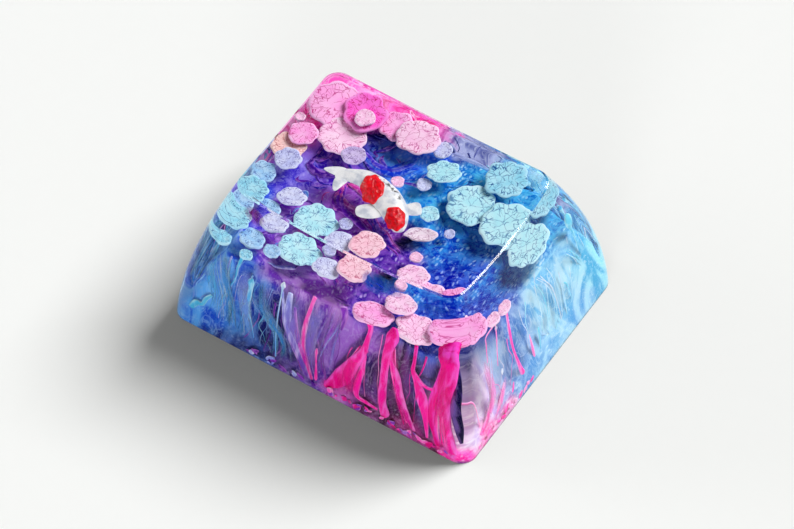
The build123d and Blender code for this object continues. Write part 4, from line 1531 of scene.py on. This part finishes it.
def add_drawn_plume(shape, cap, side, pad, colours, points, seed, layer=MIDDLE_LAYER):
    """A plume that follows points drawn on one wall of the cap, from the pad that it hangs from."""
    near, thickest = layer
    stops = []
    if pad:
        form = PadForm(pad)
        under = form.middle + OUT[side] * form.radius * 0.5
        along, height, width = points[0]
        under = under.lerp(wall_place(cap, side, along, height * MM, near), 0.35)
        stops.append(Vector((*under.xy, form.top - PAD_SINK, min(form.radius * 0.5, width * 1.6 * MM))))
    for along, height, width in points:
        sway = (1 - near) * DRAWN_SWAY * noise.noise(Vector((seed, height * 0.6, 2.0)))
        stops.append(Vector((*wall_place(cap, side, along, height * MM, near + sway), width * MM)))
    line = smooth_line(stops, DRAWN_STEPS)
    path = [stop.xyz for stop in line]
    ripple = [1 + DRAWN_RIPPLE * noise.noise(Vector((seed, stop.z / MM, 9.0))) for stop in line]
    widths = [max(stop.w, DRAWN_LEAST) * wave for stop, wave in zip(line, ripple)]
    depths = [min(width * DRAWN_DEPTH + DRAWN_LEAST, thickest * MM) for width in widths]
    add_flow(shape, path, OUT[side], widths, depths, faded(*colours, len(path)), DRAWN_SIDES)


def add_bundle(shape, cap, side, colours, spread, count, points, pick):
    """Fine lines that flow side by side and cross here and there."""
    last = len(points) - 1
    for _ in range(count):
        first = pick.uniform(-spread, spread)
        second = pick.uniform(-spread, spread)
        moved = []
        for index, (along, height, width) in enumerate(points):
            aside = first + (second - first) * index / last
            lift = pick.uniform(*BUNDLE_LIFT)
            moved.append((along + aside, height + lift, width * pick.uniform(*BUNDLE_WIDTH)))
        ends = (pick.choice(colours), pick.choice(colours))
        add_drawn_plume(shape, cap, side, None, ends, moved, pick.uniform(*SEEDS))


def add_lump(shape, cap, side, along, colour, pick):
    """A small lump of pigment at the foot of a wall."""
    size = pick.uniform(*LUMP_SIZE)
    height = pick.uniform(*LUMP_HEIGHT)
    lean = pick.uniform(*LUMP_LEAN)
    points = [
        (along - lean, height + size, size * 0.3),
        (along, height, size),
        (along + lean, max(LUMP_LOWEST, height - size), size * 0.4),
    ]
    add_drawn_plume(shape, cap, side, None, (colour, colour), points, pick.uniform(*SEEDS), LUMP_LAYER)


def add_strand(shape, cap, side, along, colour, thickness, pick):
    """One fine strand in the clear wall, with a bead at its top now and then."""
    top_height = pick.uniform(*STRAND_TOP) * MM
    foot_height = pick.uniform(*STRAND_FOOT) * MM
    near = HIDDEN_STRAND_NEAR if side in HIDDEN_SIDES else STRAND_NEAR
    top = wall_place(cap, side, along, top_height, pick.uniform(near - 0.12, near + 0.1))
    foot_along = held(along + pick.uniform(*STRAND_LEAN), -STRAND_LIMIT, STRAND_LIMIT)
    foot = wall_place(cap, side, foot_along, foot_height, pick.uniform(near - 0.1, near + 0.08))
    sway = pick.uniform(*STRAND_SWAY) * MM
    path = flow_path(top, foot, OUT[side], sway, pick.uniform(*SEEDS), STRAND_ROWS)
    middle = thickness * pick.uniform(0.6, 1.8)
    bead = thickness * (3.0 if pick.random() < BEAD_CHANCE else 1.1)
    widths = shaped(STRAND_ROWS, bead, middle, middle * pick.uniform(0.8, 2.0))
    depths = [min(width, thickness * 1.2) for width in widths]
    depths[0] = widths[0] * 0.7
    second = Vector(colour[:3]).lerp(Vector(ink_colour(foot)[:3]), 0.45)
    add_flow(shape, path, OUT[side], widths, depths, faded(colour, second, STRAND_ROWS))


class KEYCAP_OT_plumes(bpy.types.Operator):
    """Let the plumes hang from the pads and fill the clear walls with fine strands"""

    bl_idname = "keycap.plumes"
    bl_label = "Plumes"

    def execute(self, context):
        cap = context.scene.keycap_cap
        pond = context.scene.keycap_pond
        noise.seed_set(pond.swirl_seed)
        families = {name: bmesh.new() for name in FLOW_FAMILIES}
        self.add_plumes(families, cap, pond)
        self.add_fine_flows(families, cap, pond)
        solid = flow_material("flowing_pigment", 1.0)
        thin = flow_material("thin_pigment", VEIL_COVER)
        for family, (piece_name, slot, drawn) in FLOW_FAMILIES.items():
            replaced = [node for node, values in FREE_PLUMES.items() if values[1] == family] + drawn
            make_piece(families[family], piece_name, thin if family == "veil" else solid, slot, replaced)
        return {"FINISHED"}

    def add_plumes(self, families, cap, pond):
        """Plumes that follow the solids, and then the plumes and veils that are drawn."""
        seed = float(pond.seed)
        for node, (side, family, size, colours) in PLUMES_ON_PADS.items():
            form = PadForm(node)
            seed += SEED_STEP
            top = form.neck.copy() if form.neck else form.middle.copy()
            top.z = form.top - 0.6 * pond.pad_thickness
            add_plume(families[family], top, form.foot_middle, OUT[side], size * MM, colours, seed)
        for node, (side, family, size, colours) in FREE_PLUMES.items():
            form = PadForm(node)
            seed += SEED_STEP
            add_plume(families[family], form.middle, form.foot_middle, OUT[side], size * MM, colours, seed)
        for side, family, plumes in DRAWN_PLUMES:
            layer = HIDDEN_LAYER if side in HIDDEN_SIDES else MIDDLE_LAYER
            for pad, first, second, points in plumes:
                seed += SEED_STEP
                add_drawn_plume(families[family], cap, side, pad, (first, second), points, seed, layer)

    def add_fine_flows(self, families, cap, pond):
        """Bundles, lumps and strands, scattered from one seed."""
        pick = random.Random(pond.seed)
        for side, family, colours, spread, count, points in BUNDLES:
            add_bundle(families[family], cap, side, colours, spread, count, points, pick)
        for side, start, end, count, family, colours in LUMPS:
            for _ in range(count):
                add_lump(families[family], cap, side, pick.uniform(start, end), pick.choice(colours), pick)
        for side, start, end, count, family, colours, thickness in STRANDS:
            for number in range(count):
                along = start + (end - start) * (number + pick.random()) / count
                size = pond.strand_radius * thickness * pick.uniform(0.5, 1.6)
                add_strand(families[family], cap, side, along, pick.choice(colours), size, pick)


# Koi, with all sizes in millimetres

# From the tail to the nose: along X, along Y, half width, half height
KOI_STATIONS = [
    (-4.62, 0.30, 0.46, 0.05),
    (-4.15, 0.42, 0.46, 0.15),
    (-3.55, 0.62, 0.58, 0.33),
    (-2.75, 0.88, 0.76, 0.48),
    (-1.80, 0.68, 0.96, 0.57),
    (-0.75, 0.26, 1.08, 0.60),
    (0.10, -0.20, 1.00, 0.57),
    (0.72, -0.76, 0.86, 0.51),
    (1.22, -1.34, 0.62, 0.40),
    (1.52, -1.74, 0.30, 0.22),
]
# Fins: places from root to tip with the half width at each
KOI_FINS = [
    [(-3.90, 0.58, 0.46), (-4.45, 0.46, 0.48), (-4.95, 0.26, 0.34), (-5.46, 0.06, 0.10)],
    [(-3.85, 0.36, 0.46), (-4.02, -0.14, 0.48), (-3.98, -0.64, 0.36), (-3.84, -1.16, 0.10)],
    [(-0.30, -0.70, 0.66), (-0.85, -1.16, 0.72), (-1.34, -1.54, 0.68), (-1.84, -1.80, 0.44)],
    [(0.80, 0.05, 0.50), (1.15, 0.32, 0.56), (1.44, 0.58, 0.66), (1.72, 0.80, 0.52)],
]
# Red patches: place, half length, half width and turn
KOI_PATCHES = {
    "koi_back_patch": (-1.75, 0.26, 1.18, 0.78, -60.0),
    "koi_head_patch": (0.80, -1.04, 0.98, 0.68, -54.0),
}
KOI_SIDES = 16
KOI_STEPS = 33
BACK_STEPS = 60
FIN_DEPTHS = (0.10, 0.08, 0.06, 0.03)
# Where the dark marks lie on the back: from and to along X, how high, then a slanting line in X and Y
MARKS_FROM = -2.2
MARKS_TO = 0.2
MARKS_ABOVE = 0.30
MARKS_SLANT = -0.32
MARKS_SIDE = 0.55
PATCH_SEGMENTS = 32
PATCH_RISE = 0.16
PATCH_LUMPS = 0.14
# From the foot of a patch to the middle of its top: share of the reach, share of the rise
PATCH_PROFILE = [
    (0.9, -0.14), (1.0, -0.04), (1.0, 0.3), (0.93, 0.7), (0.8, 0.95), (0.6, 1.05), (0.4, 1.0), (0.2, 1.05),
]


def koi_line(share):
    """Middle, half width and half height of the koi at a share of its length, in millimetres."""
    spot = held(share, 0.0, 1.0) * (len(KOI_STATIONS) - 1)
    index = min(int(spot), len(KOI_STATIONS) - 2)
    first = Vector(KOI_STATIONS[index])
    return first.lerp(Vector(KOI_STATIONS[index + 1]), spot - index)


def koi_back(x, y):
    """Height of the koi's back above its middle line at a place, in millimetres."""
    best = 0.0
    for step in range(BACK_STEPS + 1):
        station = koi_line(step / BACK_STEPS)
        gap = math.hypot(x - station[0], y - station[1]) / station[2]
        if gap < 1:
            best = max(best, station[3] * math.sqrt(1 - gap * gap))
    return best


def add_koi_limb(shape, koi, places, widths, depths, sides=FLOW_SIDES):
    """A part of the koi along places on its level, with half widths and half heights in millimetres."""
    path = [Vector((x * MM, y * MM, koi.level)) for x, y in places]
    half_widths = [width * MM for width in widths]
    half_heights = [depth * MM for depth in depths]
    add_flow(shape, path, UP, half_widths, half_heights, [koi.white] * len(path), sides)


class KEYCAP_OT_koi(bpy.types.Operator):
    """Model the koi with its fins and its raised red patches"""

    bl_idname = "keycap.koi"
    bl_label = "Koi"

    def execute(self, context):
        koi = context.scene.keycap_koi
        shape = bmesh.new()
        stations = [koi_line(step / (KOI_STEPS - 1)) for step in range(KOI_STEPS)]
        x, y, widths, heights = zip(*stations)
        add_koi_limb(shape, koi, zip(x, y), widths, heights, KOI_SIDES)
        marks = shape.verts.layers.float.new("marks")
        for vert in shape.verts:
            on_back = MARKS_FROM < vert.co.x / MM < MARKS_TO and vert.co.z - koi.level > MARKS_ABOVE * MM
            marked = on_back and vert.co.y > MARKS_SLANT * vert.co.x + MARKS_SIDE * MM
            vert[marks] = 1.0 if marked else 0.0
        for fin in KOI_FINS:
            x, y, widths = zip(*fin)
            add_koi_limb(shape, koi, zip(x, y), widths, FIN_DEPTHS)
        subdivide(make_piece(shape, "koi", koi_material(koi.white, koi.ink), "koi_white", ["koi_body"]))
        red = koi_red_material(koi.red)
        for number, (node, form) in enumerate(KOI_PATCHES.items()):
            self.add_patch(node, number, form, koi.level, red)
        return {"FINISHED"}

    def add_patch(self, node, number, form, level, material):
        """One red patch that hugs the koi's back."""
        x, y, half_length, half_width, turned = form
        shape = bmesh.new()
        angle_layer = shape.verts.layers.float.new("angle")
        for row, verts in enumerate(rings(shape, angle_layer, PATCH_SEGMENTS, len(PATCH_PROFILE))):
            share, rise = PATCH_PROFILE[row]
            for vert in verts:
                turn = vert[angle_layer]
                spoke = Vector((math.cos(turn), math.sin(turn), 0.0))
                ragged = 1 + 0.2 * noise.noise(spoke * 1.9 + Vector((0, 0, 5.0 * number)))
                ragged += 0.06 * math.sin(7 * turn + number)
                local = Vector((spoke.x * half_length, spoke.y * half_width)) * share * ragged
                local.rotate(Matrix.Rotation(math.radians(turned), 2))
                place = Vector((x + local.x, y + local.y, 0.0))
                lump = PATCH_LUMPS * noise.noise(place * 4.0)
                height = koi_back(place.x, place.y) + PATCH_RISE * rise + lump * max(0.0, rise)
                vert.co = Vector((place.x * MM, place.y * MM, level + height * MM))
        subdivide(make_piece(shape, node + "_dressed", material, "koi_red", [node]))


# Stage

FLOOR_SIZE = 0.6
FLOOR_GAP = 0.01 * MM
# Lamps, named as their settings: where the light comes from, spread in degrees, whether the polish shows it
LAMPS = {
    "key": ((0.34, 0.605, 0.72), 30.0, True),
    "fill": ((0.36, -0.93, 0.03), 26.0, False),
    "side": ((-0.94, -0.33, 0.05), 36.0, False),
}
# A row of small lamps that the front ridge mirrors: middle, step to either side, spread in degrees
GLINTS = 5
GLINT_MIDDLE = (-0.33, -0.31, 0.89)
GLINT_STEP = (0.10, -0.015, 0.0)
GLINT_SPREAD = 5.0
CAMERA_TARGET = Vector((1.321, -1.586, 6.0)) * MM
SENSOR_WIDTH = 36.0
NEAREST = 0.01


def add_sun(name, direction, strength, spread, mirrored):
    """A soft far lamp that shines from a direction, and shows in the polish if it is mirrored."""
    lamp = bpy.data.lights.new(name, "SUN")
    lamp.energy = strength
    lamp.angle = math.radians(spread)
    sun = bpy.data.objects.new(name, lamp)
    sun.rotation_euler = Vector(direction).to_track_quat("Z", "Y").to_euler()
    sun.visible_glossy = mirrored
    bpy.context.scene.collection.objects.link(sun)


class KEYCAP_OT_stage(bpy.types.Operator):
    """Set the pale floor, the soft lamps and the camera"""

    bl_idname = "keycap.stage"
    bl_label = "Stage"

    def execute(self, context):
        scene = context.scene
        stage = scene.keycap_stage
        scene.view_settings.view_transform = "Standard"
        self.add_floor(scene, stage)
        self.set_sky(scene, stage)
        for name, (direction, spread, mirrored) in LAMPS.items():
            add_sun(f"{name}_lamp", direction, getattr(stage, name), spread, mirrored)
        for number in range(GLINTS):
            steps = number - GLINTS // 2
            direction = Vector(GLINT_MIDDLE) + Vector(GLINT_STEP) * steps
            add_sun(f"glint_{number}", direction, stage.glint, GLINT_SPREAD, True)
        self.set_camera(scene, stage)
        return {"FINISHED"}

    def add_floor(self, scene, stage):
        """A wide pale floor just under the rim."""
        shape = bmesh.new()
        bmesh.ops.create_grid(shape, x_segments=1, y_segments=1, size=FLOOR_SIZE / 2)
        mesh = bpy.data.meshes.new("floor")
        shape.to_mesh(mesh)
        shape.free()
        for vert in mesh.vertices:
            vert.co.z = -FLOOR_GAP
        mesh.materials.append(floor_material(stage.floor))
        floor = bpy.data.objects.new("floor", mesh)
        scene.collection.objects.link(floor)

    def set_sky(self, scene, stage):
        """Even light from all round."""
        world = bpy.data.worlds.new("studio")
        world.use_nodes = True
        scene.world = world
        shader = world.node_tree.nodes["Background"]
        shader.inputs["Color"].default_value = WHITE
        shader.inputs["Strength"].default_value = stage.sky

    def set_camera(self, scene, stage):
        """The camera at the photograph's viewing angle."""
        flat = math.cos(stage.elevation)
        back = Vector((
            math.sin(stage.azimuth) * flat,
            -math.cos(stage.azimuth) * flat,
            math.sin(stage.elevation),
        ))
        lens = bpy.data.cameras.new("camera")
        lens.sensor_width = SENSOR_WIDTH
        lens.lens = stage.lens
        lens.clip_start = NEAREST
        camera = bpy.data.objects.new("camera", lens)
        camera.location = CAMERA_TARGET + back * stage.distance
        camera.rotation_euler = back.to_track_quat("Z", "Y").to_euler()
        scene.collection.objects.link(camera)
        scene.camera = camera


# Sidebar

OPERATORS = (
    KEYCAP_OT_clear_casting,
    KEYCAP_OT_pigment_bed,
    KEYCAP_OT_lily_pads,
    KEYCAP_OT_plumes,
    KEYCAP_OT_koi,
    KEYCAP_OT_stage,
)


class KEYCAP_PT_sidebar(bpy.types.Panel):
    """Steps and settings of the resin keycap"""

    bl_idname = "KEYCAP_PT_sidebar"
    bl_label = "Resin keycap"
    bl_space_type = "VIEW_3D"
    bl_region_type = "UI"
    bl_category = "Keycap"

    def draw(self, context):
        for operator in OPERATORS:
            self.layout.operator(operator.bl_idname)
        scene = context.scene
        for settings in (scene.keycap_cap, scene.keycap_pond, scene.keycap_koi, scene.keycap_stage):
            column = self.layout.column()
            for setting in settings.__annotations__:
                column.prop(settings, setting)


SETTINGS = {
    "keycap_cap": CapSettings,
    "keycap_pond": PondSettings,
    "keycap_koi": KoiSettings,
    "keycap_stage": StageSettings,
}


def register():
    """Adds the settings, the steps and the sidebar to Blender."""
    for name, group in SETTINGS.items():
        bpy.utils.register_class(group)
        setattr(bpy.types.Scene, name, PointerProperty(type=group))
    for operator in OPERATORS:
        bpy.utils.register_class(operator)
    bpy.utils.register_class(KEYCAP_PT_sidebar)


def unregister():
    """Takes them out again."""
    bpy.utils.unregister_class(KEYCAP_PT_sidebar)
    for operator in reversed(OPERATORS):
        bpy.utils.unregister_class(operator)
    for name, group in SETTINGS.items():
        delattr(bpy.types.Scene, name)
        bpy.utils.unregister_class(group)


def main():
    """Builds the whole keycap on its stage."""
    register()
    bpy.ops.keycap.clear_casting()
    bpy.ops.keycap.pigment_bed()
    bpy.ops.keycap.lily_pads()
    bpy.ops.keycap.plumes()
    bpy.ops.keycap.koi()
    bpy.ops.keycap.stage()


if __name__ == "__main__":
    main()
